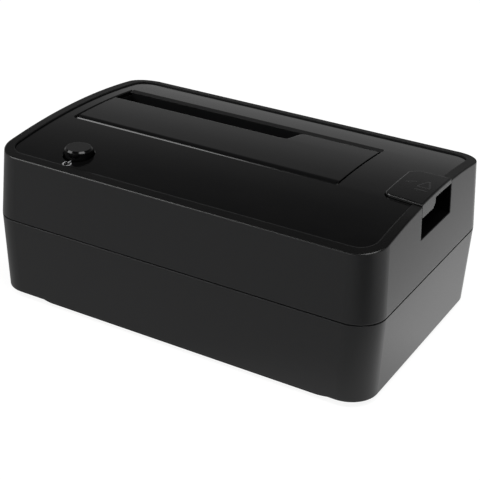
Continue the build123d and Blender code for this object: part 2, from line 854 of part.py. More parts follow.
# Flap: arched plate on a round barrel, notched at the back for the smaller drive
flap_left = -bay_left + flap_side_gap
flap_right = bay_right - flap_side_gap
flap_back = bay_back - flap_back_gap
flap_width = flap_right - flap_left
knuckle_gap_height = pin_radius + torsion_coil_clearance + torsion_wire + torsion_roof_gap
flap_rib_places = [share * flap_left for share in flap_rib_shares]
plate_back = flap_back + slot_corner_radius
with BuildPart() as flap:
    with BuildSketch(Plane.YZ.offset(flap_left)):
        with BuildLine():
            upper = [(y, top_height(y, flap_recess)) for y in (pivot_y, slot_front, plate_back)]
            lower = [(y, z - flap_thickness) for y, z in upper]
            ThreePointArc(*upper)
            Line(upper[2], lower[2])
            ThreePointArc(*reversed(lower))
            Line(lower[0], upper[0])
        make_face()
        with Locations((pivot_y, pivot_z)):
            Circle(barrel_radius)
    extrude(amount=flap_width)
    with BuildSketch(Plane.XY.offset(pivot_z)):
        with BuildLine():
            notch = FilletPolyline(
                (flap_left - overrun, flap_back + overrun),
                (flap_left - overrun, slot_front),
                (slot_right, slot_front),
                (slot_right + slot_lean, flap_back),
                (flap_right + overrun, flap_back),
                (flap_right + overrun, flap_back + overrun),
                radius=slot_corner_radius,
            )
            Line(notch @ 1, notch @ 0)
        make_face()
    extrude(amount=overrun + barrel_radius, both=True, mode=Mode.SUBTRACT)
    for place in flap_rib_places:
        add(box_between(
            (place - flap_rib_width / 2, place + flap_rib_width / 2),
            (pivot_y, slot_front - flap_rib_height),
            (top_height(slot_front, flap_recess) - flap_thickness - flap_rib_height, pivot_z),
        ))
    add(box_between(
        (knuckle_gap_place - knuckle_gap_width / 2, knuckle_gap_place + knuckle_gap_width / 2),
        (pivot_y - barrel_radius - overrun, pivot_y + barrel_radius + flap_rib_height),
        (pivot_z - overrun, pivot_z + knuckle_gap_height),
    ), mode=Mode.SUBTRACT)
    with BuildSketch(Plane.YZ.offset(flap_left - overrun)):
        with Locations((pivot_y, pivot_z)):
            Circle(pin_radius + pin_clearance)
    extrude(amount=flap_width + 2 * overrun, mode=Mode.SUBTRACT)
flap.part.label = "flap"
export_step(flap.part, "parts/flap.step")


# Flap pin, pressed into the collar at both ends
with BuildPart() as flap_pin:
    with BuildSketch(Plane.YZ.offset(-bay_left - pin_seat)):
        with Locations((pivot_y, pivot_z)):
            Circle(pin_radius)
    extrude(amount=bay_length + 2 * pin_seat)
flap_pin.part.label = "flap_pin"
export_step(flap_pin.part, "parts/flap_pin.step")


def biarc(first, first_heading, last, last_heading):
    """The point where two tangent arcs between two headed points meet, and their shared heading there."""
    way = last - first
    headings = first_heading + last_heading
    spread = 2 * (1 - first_heading.dot(last_heading))
    along = way.dot(headings)
    reach = (math.sqrt(along**2 + spread * way.dot(way)) - along) / spread
    before = first + first_heading * reach
    after = last - last_heading * reach
    return (before + after) * 0.5, (after - before).normalized()


def coil(frame, radius, pitch, turns, wire, lead_in=0, lead_out=0):
    """Unbroken coil of six-sided wire about the frame's Z axis, on biarcs of a quarter turn, with legs."""

    def at(turn):
        angle = 2 * math.pi * turn
        return frame.from_local_coords((radius * math.cos(angle), radius * math.sin(angle), pitch * turn))

    def heading(turn):
        angle = 2 * math.pi * turn
        rise = pitch / (2 * math.pi)
        way = frame.from_local_coords((-radius * math.sin(angle), radius * math.cos(angle), rise))
        return (way - frame.origin).normalized()

    with BuildLine() as path:
        if lead_in > 0:
            Line(at(0) - heading(0) * lead_in, at(0))
        for step in range(round(4 * turns)):
            first, last = step / 4, (step + 1) / 4
            joint, joint_heading = biarc(at(first), heading(first), at(last), heading(last))
            TangentArc(at(first), joint, tangent=heading(first))
            TangentArc(joint, at(last), tangent=joint_heading)
        if lead_out > 0:
            Line(at(turns), at(turns) + heading(turns) * lead_out)
    with BuildPart() as spring:
        with BuildSketch(Plane(path.wires()[0] @ 0, z_dir=path.wires()[0] % 0)):
            RegularPolygon(wire / 2, wire_sides)
        sweep(path=path.wires()[0])
    print("gap between the turns", round(pitch - wire, 2))
    return spring.part


# Flap spring: torsion coil round the pin, in the gap of the barrel, one leg on the collar, one under the flap
torsion_radius = pin_radius + torsion_coil_clearance + torsion_wire / 2
torsion_start = knuckle_gap_place - torsion_turns * torsion_pitch / 2
torsion_frame = Plane((torsion_start, pivot_y, pivot_z), x_dir=(0, 0, -1), z_dir=(1, 0, 0))
collar_leg = pivot_y - collar_hollow_y[0] - torsion_leg_gap
flap_leg = knuckle_gap_height - torsion_leg_gap
flap_spring = coil(
    torsion_frame, torsion_radius, torsion_pitch, torsion_turns, torsion_wire, collar_leg, flap_leg
)
flap_spring.label = "flap_spring"
export_step(flap_spring, "parts/flap_spring.step")


# Eject button: arched cap over the side wall, a finger skirt at its front end, a stem with a clip groove
well_floor_bottom = well_floor_top - well_wall
clip_top = well_floor_bottom - clip_gap
rocker_rise = rocker_arm * math.sin(math.radians(rocker_angle))
stem_tip = rocker_pivot_height + rocker_rise + rocker_nose_radius + stem_tip_gap
cap_level = above_arch(-eject_proud)
cap_underside = above_arch(eject_plate - eject_proud)
skirt_bottom = top_height(-eject_front, eject_skirt_depth - eject_proud)
skirt_top = top_height(-eject_front, eject_plate / 2 - eject_proud)
skirt_inside = half_length - side_draw(skirt_bottom) - eject_skirt_thickness
skirt_back = eject_skirt_width - eject_front
with BuildPart() as eject_skirt:
    with BuildSketch(Plane.YZ.offset(skirt_inside)):
        with BuildLine():
            Polyline(
                (-eject_front, skirt_bottom),
                (skirt_back - eject_skirt_corner, skirt_bottom),
                (skirt_back, skirt_bottom + eject_skirt_corner),
                (skirt_back, skirt_top),
                (-eject_front, skirt_top),
                close=True,
            )
        make_face()
    extrude(amount=eject_skirt_thickness + overrun)
    add(cap_block(0, skirt_bottom - overrun, crown_height + overrun), mode=Mode.INTERSECT)
    add(upper_outside, mode=Mode.INTERSECT)
with BuildPart() as eject_button:
    add(cap_block(0, split_height, crown_height + overrun))
    add(upper_outside, mode=Mode.INTERSECT)
    add(cap_underside, mode=Mode.INTERSECT)
    add(cap_level, mode=Mode.SUBTRACT)
    rounded = eject_button.faces().sort_by(Axis.Z)[-1].edges()
    fillet(rounded, eject_edge_radius)
    add(eject_skirt.part)
    root_top = top_height(-stem_root_radius, eject_plate / 2 - eject_proud)
    root_bottom = top_height(-stem_root_radius, eject_plate - eject_proud) - stem_root_height
    add(column([(stem_place, 0)], stem_root_radius, root_bottom, root_top))
    add(column([(stem_place, 0)], stem_radius, stem_tip, root_top))
    with BuildSketch(Plane.XY.offset(clip_top)):
        with Locations((stem_place, 0)):
            Circle(stem_radius)
            Circle(stem_radius - clip_groove_depth, mode=Mode.SUBTRACT)
    extrude(amount=-clip_thickness, mode=Mode.SUBTRACT)
eject_button.part.label = "eject_button"
export_step(eject_button.part, "parts/eject_button.step")


# Retaining clip in the stem's groove, open at one side, which holds the button in its well
with BuildPart() as stem_clip:
    with BuildSketch(Plane.XY.offset(clip_top)):
        with Locations((stem_place, 0)):
            Circle(clip_radius)
            Circle(stem_radius - clip_groove_depth, mode=Mode.SUBTRACT)
        with Locations((stem_place - clip_radius, 0)):
            Rectangle(2 * clip_radius, 2 * (stem_radius - clip_groove_depth) - clip_gap, mode=Mode.SUBTRACT)
    extrude(amount=-clip_thickness)
stem_clip.part.label = "stem_clip"
export_step(stem_clip.part, "parts/stem_clip.step")


# Eject spring, round the stem between its guide on the bay and the clip
coil_space = clip_top - clip_thickness - guide_top_height
coil_pitch = (coil_space - coil_wire - 2 * coil_end_gap) / coil_turns
eject_coil_radius = stem_radius + coil_clearance + coil_wire / 2
eject_coil_start = guide_top_height + coil_wire / 2 + coil_end_gap
eject_spring = coil(
    Plane((stem_place, 0, eject_coil_start)), eject_coil_radius, coil_pitch, coil_turns, coil_wire
)
eject_spring.label = "eject_spring"
export_step(eject_spring, "parts/eject_spring.step")


# Eject rocker: level arm under the drives, arm that rises to the stem, round noses and a hub on the pin
rocker_turn = math.radians(rocker_angle)
rise_x = rocker_place + rocker_arm * math.cos(rocker_turn)
rise_z = rocker_pivot_height + rocker_arm * math.sin(rocker_turn)
with BuildPart() as eject_rocker:
    with BuildSketch(Plane.XZ.offset(-rocker_y - rocker_width / 2)):
        with Locations((rocker_place - rocker_arm / 2, rocker_pivot_height)):
            Rectangle(rocker_arm, rocker_thickness)
        with Locations((rocker_place - rocker_arm, rocker_pivot_height), (rise_x, rise_z)):
            Circle(rocker_nose_radius)
        with Locations((rocker_place, rocker_pivot_height)):
            Circle(rocker_hub_radius)
        rise_middle = ((rocker_place + rise_x) / 2, (rocker_pivot_height + rise_z) / 2)
        with Locations(Location(rise_middle, rocker_angle)):
            Rectangle(rocker_arm, rocker_thickness)
        with Locations((rocker_place, rocker_pivot_height)):
            Circle(rocker_pin_radius + pin_clearance, mode=Mode.SUBTRACT)
    extrude(amount=rocker_width)
eject_rocker.part.label = "eject_rocker"
export_step(eject_rocker.part, "parts/eject_rocker.step")


# Rocker pin, held by the two brackets under the bay
with BuildPart() as rocker_pin:
    with BuildSketch(Plane.XZ.offset(-bracket_y[1] - bracket_thickness / 2)):
        with Locations((rocker_place, rocker_pivot_height)):
            Circle(rocker_pin_radius)
    extrude(amount=bracket_y[1] - bracket_y[0] + bracket_thickness)
rocker_pin.part.label = "rocker_pin"
export_step(rocker_pin.part, "parts/rocker_pin.step")


# Power button: round cap with a bevelled rim, and a skirt that holds it under the deck
power_top = panel_level_at_power + power_proud
with BuildPart() as power_button:
    add(column(cap_place, power_radius, power_skirt_bottom, power_top))
    chamfer(power_button.edges().group_by(Axis.Z)[-1], power_edge)
    add(column(cap_place, power_skirt_radius, power_skirt_bottom, power_skirt_top))
power_button.part.label = "power_button"
export_step(power_button.part, "parts/power_button.step")


# Switch plunger, which travels with the button
with BuildPart() as switch_plunger:
    add(column(cap_place, plunger_radius, switch_top - plunger_depth, power_skirt_bottom))
switch_plunger.part.label = "switch_plunger"
export_step(switch_plunger.part, "parts/switch_plunger.step")


# Push switch on the switch board
with BuildPart() as power_switch:
    with BuildSketch(Plane.XY.offset(switch_board_top)):
        with Locations(*cap_place):
            RectangleRounded(switch_side, switch_side, switch_corner_radius)
    extrude(amount=switch_height)
    with BuildSketch(Plane.XY.offset(switch_board_top)):
        with Locations(*cap_place):
            Circle(plunger_radius + plunger_clearance)
    extrude(amount=switch_height, mode=Mode.SUBTRACT)
power_switch.part.label = "power_switch"
export_step(power_switch.part, "parts/power_switch.step")


# Switch board, hung from two posts of the deck
switch_board_bottom = switch_board_top - switch_board_thickness
with BuildPart() as switch_board:
    with BuildSketch(Plane.XY.offset(switch_board_top)):
        with Locations((-power_x + switch_board_shift, -power_y)):
            RectangleRounded(switch_board_length, switch_board_width, board_corner)
        with Locations(*post_places):
            Circle(switch_screw_radius + screw_hole_clearance, mode=Mode.SUBTRACT)
    extrude(amount=-switch_board_thickness)
switch_board.part.label = "switch_board"
export_step(switch_board.part, "parts/switch_board.step")

switch_screws = screw_group(
    post_places,
    switch_board_bottom,
    switch_screw_radius,
    switch_screw_length,
    switch_screw_head_radius,
    switch_screw_head_height,
    True,
)
switch_screws.label = "switch_screws"
export_step(switch_screws, "parts/switch_screws.step")


# Status light beside the switch
with BuildPart() as status_led:
    with BuildSketch(Plane.XY.offset(switch_board_top)):
        with Locations((-power_x + led_offset, -power_y)):
            Circle(led_radius)
    extrude(amount=led_height)
    fillet(status_led.edges().group_by(Axis.Z)[-1], led_radius / 2)
status_led.part.label = "status_led"
export_step(status_led.part, "parts/status_led.step")


# Sockets of the flat cable, one under the switch board and one on the main board
switch_socket_bottom = switch_board_bottom - header_height
with BuildPart() as cable_sockets:
    for y, low in ((-power_y, switch_socket_bottom), (-ribbon_board_y, board_top)):
        with BuildSketch(Plane.XY.offset(low)):
            with Locations((-ribbon_x, y)):
                Rectangle(header_length, header_width)
        extrude(amount=header_height)
cable_sockets.part.label = "cable_sockets"
export_step(cable_sockets.part, "parts/cable_sockets.step")


# Flat cable between the two sockets, in two bends
socket_top = board_top + header_height
with BuildLine(Plane.YZ.offset(-ribbon_x)) as ribbon_line:
    FilletPolyline(
        (-power_y, switch_socket_bottom),
        (-power_y, switch_socket_bottom - ribbon_straight),
        (-ribbon_board_y, socket_top + ribbon_straight),
        (-ribbon_board_y, socket_top),
        radius=ribbon_bend_radius,
    )
with BuildPart() as switch_ribbon:
    with BuildSketch(Plane((-ribbon_x, -power_y, switch_socket_bottom), x_dir=(1, 0, 0), z_dir=(0, 0, -1))):
        Rectangle(ribbon_width, ribbon_thickness)
    sweep(path=ribbon_line.wires()[0])
switch_ribbon.part.label = "switch_ribbon"
export_step(switch_ribbon.part, "parts/switch_ribbon.step")


# Main board, with a round cut-out for the screw tube that passes it
board_middle = ((board_right - board_left) / 2, (board_back - board_front) / 2)
with BuildPart() as main_board:
    with BuildSketch(Plane.XY.offset(board_bottom)):
        with Locations(board_middle):
            RectangleRounded(board_left + board_right, board_front + board_back, board_corner)
        with Locations((-foot_left, foot_row)):
            Circle(tube_waist_radius + tube_board_gap, mode=Mode.SUBTRACT)
        with Locations(*board_screw_places):
            Circle(board_screw_radius + screw_hole_clearance, mode=Mode.SUBTRACT)
    extrude(amount=board_thickness)
main_board.part.label = "main_board"
export_step(main_board.part, "parts/main_board.step")

board_screws = screw_group(
    board_screw_places,
    board_top,
    board_screw_radius,
    board_thickness + board_screw_length / 2,
    board_screw_head_radius,
    board_screw_head_height,
    False,
)
board_screws.label = "board_screws"
export_step(board_screws, "parts/board_screws.step")


# Drive connector: body up through the bay's floor, with the power tongue and the data tongue
tongue_total = power_tongue_length + data_tongue_length + tongue_separation
power_tongue_x = -connector_x - tongue_total / 2 + power_tongue_length / 2
data_tongue_x = -connector_x + tongue_total / 2 - data_tongue_length / 2
with BuildPart() as drive_connector:
    add(box_between(connector_x_range, connector_y_range, (board_top, connector_body_top)))
    with BuildSketch(Plane.XY.offset(connector_body_top)):
        with Locations((power_tongue_x, connector_y)):
            Rectangle(power_tongue_length, tongue_thickness)
        with Locations((data_tongue_x, connector_y)):
            Rectangle(data_tongue_length, tongue_thickness)
    extrude(amount=tongue_top - connector_body_top)
drive_connector.part.label = "drive_connector"
export_step(drive_connector.part, "parts/drive_connector.step")


# Square data socket at the back, its mouth bevelled at the top corners, with the contact tongue inside
port_face = half_depth - side_draw(board_top) - port_set_back
usb_axis = usb_bottom + usb_height / 2
with BuildPart() as usb_port:
    with BuildSketch(Plane.XZ.offset(-port_face)):
        with Locations((-usb_x, usb_axis)):
            Rectangle(usb_width, usb_height)
    extrude(amount=usb_depth)
    with BuildSketch(Plane.XZ.offset(-port_face)) as mouth:
        with Locations((-usb_x, usb_axis)):
            Rectangle(usb_mouth_width, usb_mouth_height)
        chamfer(mouth.vertices().group_by(Axis.Z)[-1], usb_mouth_chamfer)
        with Locations((-usb_x, usb_axis)):
            Rectangle(usb_tongue_width, usb_tongue_height, mode=Mode.SUBTRACT)
    extrude(amount=usb_mouth_depth, mode=Mode.SUBTRACT)
    with BuildSketch(Plane.XZ.offset(-port_face)):
        with Locations((-usb_x, usb_axis)):
            Rectangle(usb_tongue_width, usb_tongue_height)
    extrude(amount=usb_tongue_gap, mode=Mode.SUBTRACT)
usb_port.part.label = "usb_port"
export_step(usb_port.part, "parts/usb_port.step")


# Power jack at the back: block on the board, round snout through the wall, bore with its centre pin
jack_body_face = half_depth - side_draw(board_top) - wall - port_clearance
with BuildPart() as power_jack:
    with BuildSketch(Plane.XZ.offset(-jack_body_face)):
        with Locations((-jack_x, board_top + jack_height / 2)):
            Rectangle(jack_width, jack_height)
    extrude(amount=jack_body_depth)
    with BuildSketch(Plane.XZ.offset(-port_face)):
        with Locations((-jack_x, jack_axis)):
            Circle(jack_snout_radius)
    extrude(amount=port_face - jack_body_face)
    with BuildSketch(Plane.XZ.offset(-port_face)):
        with Locations((-jack_x, jack_axis)):
            Circle(jack_bore_radius)
            Circle(jack_pin_radius, mode=Mode.SUBTRACT)
    extrude(amount=jack_bore_depth, mode=Mode.SUBTRACT)
power_jack.part.label = "power_jack"
export_step(power_jack.part, "parts/power_jack.step")


# Bridge chip and its leads
with BuildPart() as bridge_chip:
    with BuildSketch(Plane.XY.offset(board_top)):
        with Locations((-bridge_chip_x, bridge_chip_y)):
            Rectangle(bridge_chip_side, bridge_chip_side)
    extrude(amount=bridge_chip_height)
    half_chip = bridge_chip_side / 2
    add(gull_wing_leads(-bridge_chip_x, bridge_chip_y, half_chip, bridge_chip_lead_count, board_top))
bridge_chip.part.label = "bridge_chip"
export_step(bridge_chip.part, "parts/bridge_chip.step")


# Memory chip
with BuildPart() as flash_chip:
    with BuildSketch(Plane.XY.offset(board_top)):
        with Locations((-flash_chip_x, flash_chip_y)):
            Rectangle(flash_chip_width, flash_chip_length)
    extrude(amount=flash_chip_height)
    add(gull_wing_leads(-flash_chip_x, flash_chip_y, flash_chip_width / 2, flash_chip_lead_count, board_top))
flash_chip.part.label = "flash_chip"
export_step(flash_chip.part, "parts/flash_chip.step")


# Crystal in its can
with BuildPart() as crystal:
    with BuildSketch(Plane.XY.offset(board_top)):
        with Locations((-crystal_x, crystal_y)):
            SlotOverall(crystal_length, crystal_width, rotation=90)
    extrude(amount=crystal_height)
crystal.part.label = "crystal"
export_step(crystal.part, "parts/crystal.step")


# Capacitors in a row along the front of the board
capacitor_places = [
    (-capacitor_x + step * capacitor_pitch, -power_row_y) for step in range(capacitor_count)
]
with BuildPart() as capacitors:
    add(column(capacitor_places, capacitor_radius, board_top, board_top + capacitor_height))
    for x, y in capacitor_places:
        with BuildSketch(Plane.XY.offset(board_top + capacitor_groove_height)):
            with Locations((x, y)):
                Circle(capacitor_radius)
                Circle(capacitor_radius - capacitor_groove, mode=Mode.SUBTRACT)
        extrude(amount=capacitor_groove, mode=Mode.SUBTRACT)
capacitors.part.label = "capacitors"
export_step(capacitors.part, "parts/capacitors.step")


# Power inductor
with BuildPart() as power_inductor:
    with BuildSketch(Plane.XY.offset(board_top)):
        with Locations((-inductor_x, -power_row_y)):
            RectangleRounded(inductor_side, inductor_side, inductor_corner)
    extrude(amount=inductor_height)
power_inductor.part.label = "power_inductor"
export_step(power_inductor.part, "parts/power_inductor.step")
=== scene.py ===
"""Looks of the hard drive docking station: camera, studio, finishes, and the small printed, plated and
sprung parts. The CAD nodes keep their shapes; only their finishes are given here."""

import json
import math

import bmesh
import bpy
import numpy as np
from mathutils import Matrix, Vector


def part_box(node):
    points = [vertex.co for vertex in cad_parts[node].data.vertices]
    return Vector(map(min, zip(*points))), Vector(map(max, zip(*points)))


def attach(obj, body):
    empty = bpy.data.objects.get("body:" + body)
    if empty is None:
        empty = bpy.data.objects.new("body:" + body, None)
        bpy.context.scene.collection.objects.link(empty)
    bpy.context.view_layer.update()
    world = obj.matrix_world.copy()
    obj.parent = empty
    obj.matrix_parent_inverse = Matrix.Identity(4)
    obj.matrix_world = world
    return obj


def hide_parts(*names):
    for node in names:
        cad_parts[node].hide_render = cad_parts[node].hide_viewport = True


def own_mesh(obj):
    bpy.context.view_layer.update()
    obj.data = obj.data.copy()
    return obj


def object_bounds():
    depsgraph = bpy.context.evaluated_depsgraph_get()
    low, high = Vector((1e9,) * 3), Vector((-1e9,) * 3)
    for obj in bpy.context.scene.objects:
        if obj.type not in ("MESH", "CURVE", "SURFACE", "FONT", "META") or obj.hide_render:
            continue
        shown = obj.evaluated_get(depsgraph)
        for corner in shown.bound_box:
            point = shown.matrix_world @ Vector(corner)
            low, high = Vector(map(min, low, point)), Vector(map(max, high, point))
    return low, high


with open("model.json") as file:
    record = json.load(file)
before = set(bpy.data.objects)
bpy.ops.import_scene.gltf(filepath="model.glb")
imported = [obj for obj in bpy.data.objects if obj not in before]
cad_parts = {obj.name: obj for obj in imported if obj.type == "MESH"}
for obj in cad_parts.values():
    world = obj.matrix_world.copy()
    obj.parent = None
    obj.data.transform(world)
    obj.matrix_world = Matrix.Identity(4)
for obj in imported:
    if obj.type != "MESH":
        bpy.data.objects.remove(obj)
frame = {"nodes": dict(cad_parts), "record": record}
cad_low, cad_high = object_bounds()
nodes = frame["nodes"]
MM = 0.001
WHITE, BLACK = (1.0, 1.0, 1.0, 1.0), (0.0, 0.0, 0.0, 1.0)
UP = np.array((0.0, 0.0, 1.0))

# Arch of the housing's top: its radius, the line it is centred on, its crown, and how far the panel lies
# below it
ARCH_RADIUS = 263.0 * MM
ARCH_LINE = 2.7 * MM
CROWN_HEIGHT = 57.4 * MM
PANEL_RECESS = 0.5 * MM

# Rim round the panel: where it takes over from the sides, its roughness from front to back, and its colour,
# darkened as painted shade on the up-facing rim
RIM_BAND = (CROWN_HEIGHT - 0.42 * MM, CROWN_HEIGHT - 0.12 * MM)
RIM_SKIN = (-22.0 * MM, 12.0 * MM, 0.24, 0.85)
# Painted shade: the rim's colour is darker than the housing's, as if the top were unlit
RIM_SHADE_COLOUR = (0.003, 0.003, 0.0031, 1.0)

# Pocket under the eject button: the end wall leans in above the joint of the housings, and the pocket is
# what lies inside of that wall. Its mask changes between the two values of each pair. The pocket's colour is
# painted shade, darker than the housing round it, and it has a roughness of its own
SPLIT_HEIGHT = 30.2 * MM
TOP_DRAFT, UPPER_SHELL_HEIGHT = 1.65 * MM, 27.2 * MM
END_LEAN = TOP_DRAFT / UPPER_SHELL_HEIGHT
END_WALL = cad_high[0] + END_LEAN * SPLIT_HEIGHT
POCKET_DEEP = (END_WALL - 0.45 * MM, END_WALL - 0.25 * MM)
POCKET_LEFT = (56.0 * MM, 56.2 * MM)
POCKET_LOW = (40.0 * MM, 40.2 * MM)
POCKET_MIDDLE, POCKET_HALF = 1.2 * MM, (12.8 * MM, 12.9 * MM)
# Painted shade: the darker colour of the pocket's floor and walls, where shade falls
POCKET_SHADE_COLOUR = (0.0012, 0.0012, 0.0013, 1.0)
POCKET_SKIN = 0.2

# Camera, fitted to the edges of the housing
CAMERA_AZIMUTH = math.radians(29.302)
CAMERA_ELEVATION = math.radians(26.859)
CAMERA_ROLL = math.radians(2.021)
CAMERA_DISTANCE = 0.432637
CAMERA_TARGET = Vector((0.00008, 0.001465, 0.020416))
CAMERA_LENS = 91.684
CAMERA_CLIP = (0.02, 20)
SENSOR = 36.0


def make_camera():
    """A camera that looks at the target from that azimuth and elevation, turned by the roll about its own
    axis."""
    sa, ca = math.sin(CAMERA_AZIMUTH), math.cos(CAMERA_AZIMUTH)
    se, ce = math.sin(CAMERA_ELEVATION), math.cos(CAMERA_ELEVATION)
    sr, cr = math.sin(CAMERA_ROLL), math.cos(CAMERA_ROLL)
    back = Vector((sa * ce, -ca * ce, se))
    right = Vector((ca, sa, 0))
    above = back.cross(right)
    place = Matrix((cr * right + sr * above, cr * above - sr * right, back)).transposed().to_4x4()
    place.translation = CAMERA_TARGET + back * CAMERA_DISTANCE
    data = bpy.data.cameras.new("camera")
    data.lens, data.sensor_width = CAMERA_LENS, SENSOR
    data.clip_start, data.clip_end = CAMERA_CLIP
    camera = bpy.data.objects.new("camera", data)
    bpy.context.scene.collection.objects.link(camera)
    camera.matrix_world = place
    bpy.context.scene.camera = camera


# Node trees: small helpers

def join(tree, socket, value):
    """Joins the socket to another one, or sets it to a value."""
    if isinstance(value, bpy.types.NodeSocket):
        tree.links.new(value, socket)
    else:
        socket.default_value = value


def node(tree, kind, inputs=None, **settings):
    """One node with its settings; each input is joined to a socket or set to a value."""
    made = tree.nodes.new(kind)
    for key, value in settings.items():
        setattr(made, key, value)
    for key, value in (inputs or {}).items():
        join(tree, made.inputs[key], value)
    return made


def sums(tree, operation, *terms, clamp=False):
    """The result of one arithmetic node on those terms."""
    made = node(tree, "ShaderNodeMath", dict(enumerate(terms)), operation=operation, use_clamp=clamp)
    return made.outputs[0]


def between(tree, share, first, second):
    """A value that is first where the share is 0 and second where it is 1."""
    rest = sums(tree, "MULTIPLY", sums(tree, "SUBTRACT", 1.0, share), first)
    return sums(tree, "ADD", sums(tree, "MULTIPLY", share, second), rest)


def spread(tree, value, low, high, to_low=0.0, to_high=1.0):
    """The value carried from low-high to to_low-to_high, held at both ends."""
    inputs = {"Value": value, "From Min": low, "From Max": high, "To Min": to_low, "To Max": to_high}
    return node(tree, "ShaderNodeMapRange", inputs).outputs["Result"]


def blend(tree, share, first, second):
    """A colour between first and second by that share. The colour sockets of the node come after its number
    and vector sockets, at these places."""
    made = node(tree, "ShaderNodeMix", {0: share, 6: first, 7: second}, data_type="RGBA")
    return made.outputs[2]


def noise(tree, place, scale, detail=3.0, roughness=0.55, distortion=0.0):
    """Fractal noise from 0 to 1."""
    inputs = {
        "Vector": place, "Scale": scale, "Detail": detail, "Roughness": roughness, "Distortion": distortion,
    }
    return node(tree, "ShaderNodeTexNoise", inputs).outputs["Fac"]


def cells(tree, place, scale, randomness=1.0, **settings):
    """How far each point lies from its cell's middle, or from the cell's edge where the settings say so."""
    inputs = {"Vector": place, "Scale": scale, "Randomness": randomness}
    return node(tree, "ShaderNodeTexVoronoi", inputs, **settings).outputs["Distance"]


def stretched(tree, place, scale, turn=(0.0, 0.0, 0.0)):
    """The place turned and scaled, so that a pattern on it runs in streaks."""
    return node(tree, "ShaderNodeMapping", {"Vector": place, "Rotation": turn, "Scale": scale}).outputs[0]


def effect(name, inputs, outputs):
    """An empty node group with those sockets, and its ends."""
    tree = bpy.data.node_groups.new(name, "ShaderNodeTree")
    for label, (kind, value) in inputs.items():
        socket = tree.interface.new_socket(name=label, in_out="INPUT", socket_type=kind)
        if value is not None:
            socket.default_value = value
    for label, kind in outputs.items():
        tree.interface.new_socket(name=label, in_out="OUTPUT", socket_type=kind)
    return tree, tree.nodes.new("NodeGroupInput"), tree.nodes.new("NodeGroupOutput")


FLOAT, VECTOR = "NodeSocketFloat", "NodeSocketVector"


# Effects that several finishes share. A band holds the two values that a pattern is carried from, and
# sometimes the two that it is carried to. A grain holds the scale and detail of a noise, and sometimes its
# roughness and distortion

SKIN_CELLS, SKIN_FINE, SKIN_FINE_RATE = 0.6, 0.5, 1.7
SKIN_DETAIL = 2.0
SPECKLE_BAND = (0.35, 0.65)


def eroded_skin():
    """Spark-eroded mould texture: cells of about the given size in metres, softened by noise; height and
    speckle."""
    tree, start, end = effect(
        "Eroded Skin",
        {"Place": (VECTOR, None), "Size": (FLOAT, 0.4 * MM)},
        {"Height": FLOAT, "Speckle": FLOAT},
    )
    place = start.outputs["Place"]
    rate = sums(tree, "DIVIDE", 1.0, start.outputs["Size"])
    coarse = cells(tree, place, rate, feature="SMOOTH_F1")
    fine = noise(tree, place, sums(tree, "MULTIPLY", rate, SKIN_FINE_RATE), SKIN_DETAIL)
    height = sums(
        tree, "ADD", sums(tree, "MULTIPLY", coarse, SKIN_CELLS), sums(tree, "MULTIPLY", fine, SKIN_FINE)
    )
    tree.links.new(height, end.inputs["Height"])
    tree.links.new(spread(tree, fine, *SPECKLE_BAND), end.inputs["Speckle"])
    return tree


EDGE_SAMPLES = 6
EDGE_TURN = (0.998, 0.9)
EDGE_BREAK_GRAIN = (900.0, 4.0)
EDGE_BREAK_BAND = (0.35, 0.6, 0.35, 1.0)


def soft_edges():
    """Edges rounded by a radius: the rounded normal, and a mask that grows as it turns away from the face,
    broken by noise."""
    tree, start, end = effect(
        "Soft Edges",
        {"Place": (VECTOR, None), "Radius": (FLOAT, 0.3 * MM)},
        {"Normal": VECTOR, "Mask": FLOAT},
    )
    rounded = node(tree, "ShaderNodeBevel", {"Radius": start.outputs["Radius"]}, samples=EDGE_SAMPLES)
    face = node(tree, "ShaderNodeNewGeometry")
    along = node(
        tree,
        "ShaderNodeVectorMath",
        {0: rounded.outputs["Normal"], 1: face.outputs["Normal"]},
        operation="DOT_PRODUCT",
    )
    broken = spread(tree, noise(tree, start.outputs["Place"], *EDGE_BREAK_GRAIN), *EDGE_BREAK_BAND)
    edge = spread(tree, along.outputs["Value"], *EDGE_TURN)
    tree.links.new(rounded.outputs["Normal"], end.inputs["Normal"])
    tree.links.new(sums(tree, "MULTIPLY", edge, broken, clamp=True), end.inputs["Mask"])
    return tree


FILM_GRAIN, FILM_BAND, FILM_SHARE = (45.0, 6.0, 0.65), (0.35, 0.75, 0.2, 1.0), 0.5
SPECK_RATE, SPECK_BAND = 420.0, (0.09, 0.05)
UPWARD_BAND = (0.3, 0.9)


def settled_dust():
    """Dust on faces that look up: a thin film broken by noise, with a few larger specks."""
    tree, start, end = effect(
        "Settled Dust",
        {"Place": (VECTOR, None), "Amount": (FLOAT, 0.3)},
        {"Mask": FLOAT},
    )
    place = start.outputs["Place"]
    face = node(tree, "ShaderNodeNewGeometry")
    upward = node(tree, "ShaderNodeSeparateXYZ", {0: face.outputs["Normal"]}).outputs["Z"]
    film = spread(tree, noise(tree, place, *FILM_GRAIN), *FILM_BAND)
    specks = spread(tree, cells(tree, place, SPECK_RATE), *SPECK_BAND)
    layer = sums(tree, "MAXIMUM", sums(tree, "MULTIPLY", film, FILM_SHARE), specks)
    lying = sums(tree, "MULTIPLY", layer, spread(tree, upward, *UPWARD_BAND))
    tree.links.new(sums(tree, "MULTIPLY", lying, start.outputs["Amount"]), end.inputs["Mask"])
    return tree


SMEAR_SCALE, SMEAR_TURN = (30.0, 90.0, 60.0), (0.0, 0.0, 0.6)
SMEAR_GRAIN, SMEAR_BAND = (1.0, 5.0, 0.6, 0.8), (0.45, 0.7)
PATCH_GRAIN, PATCH_BAND = (28.0, 2.0), (0.4, 0.65)


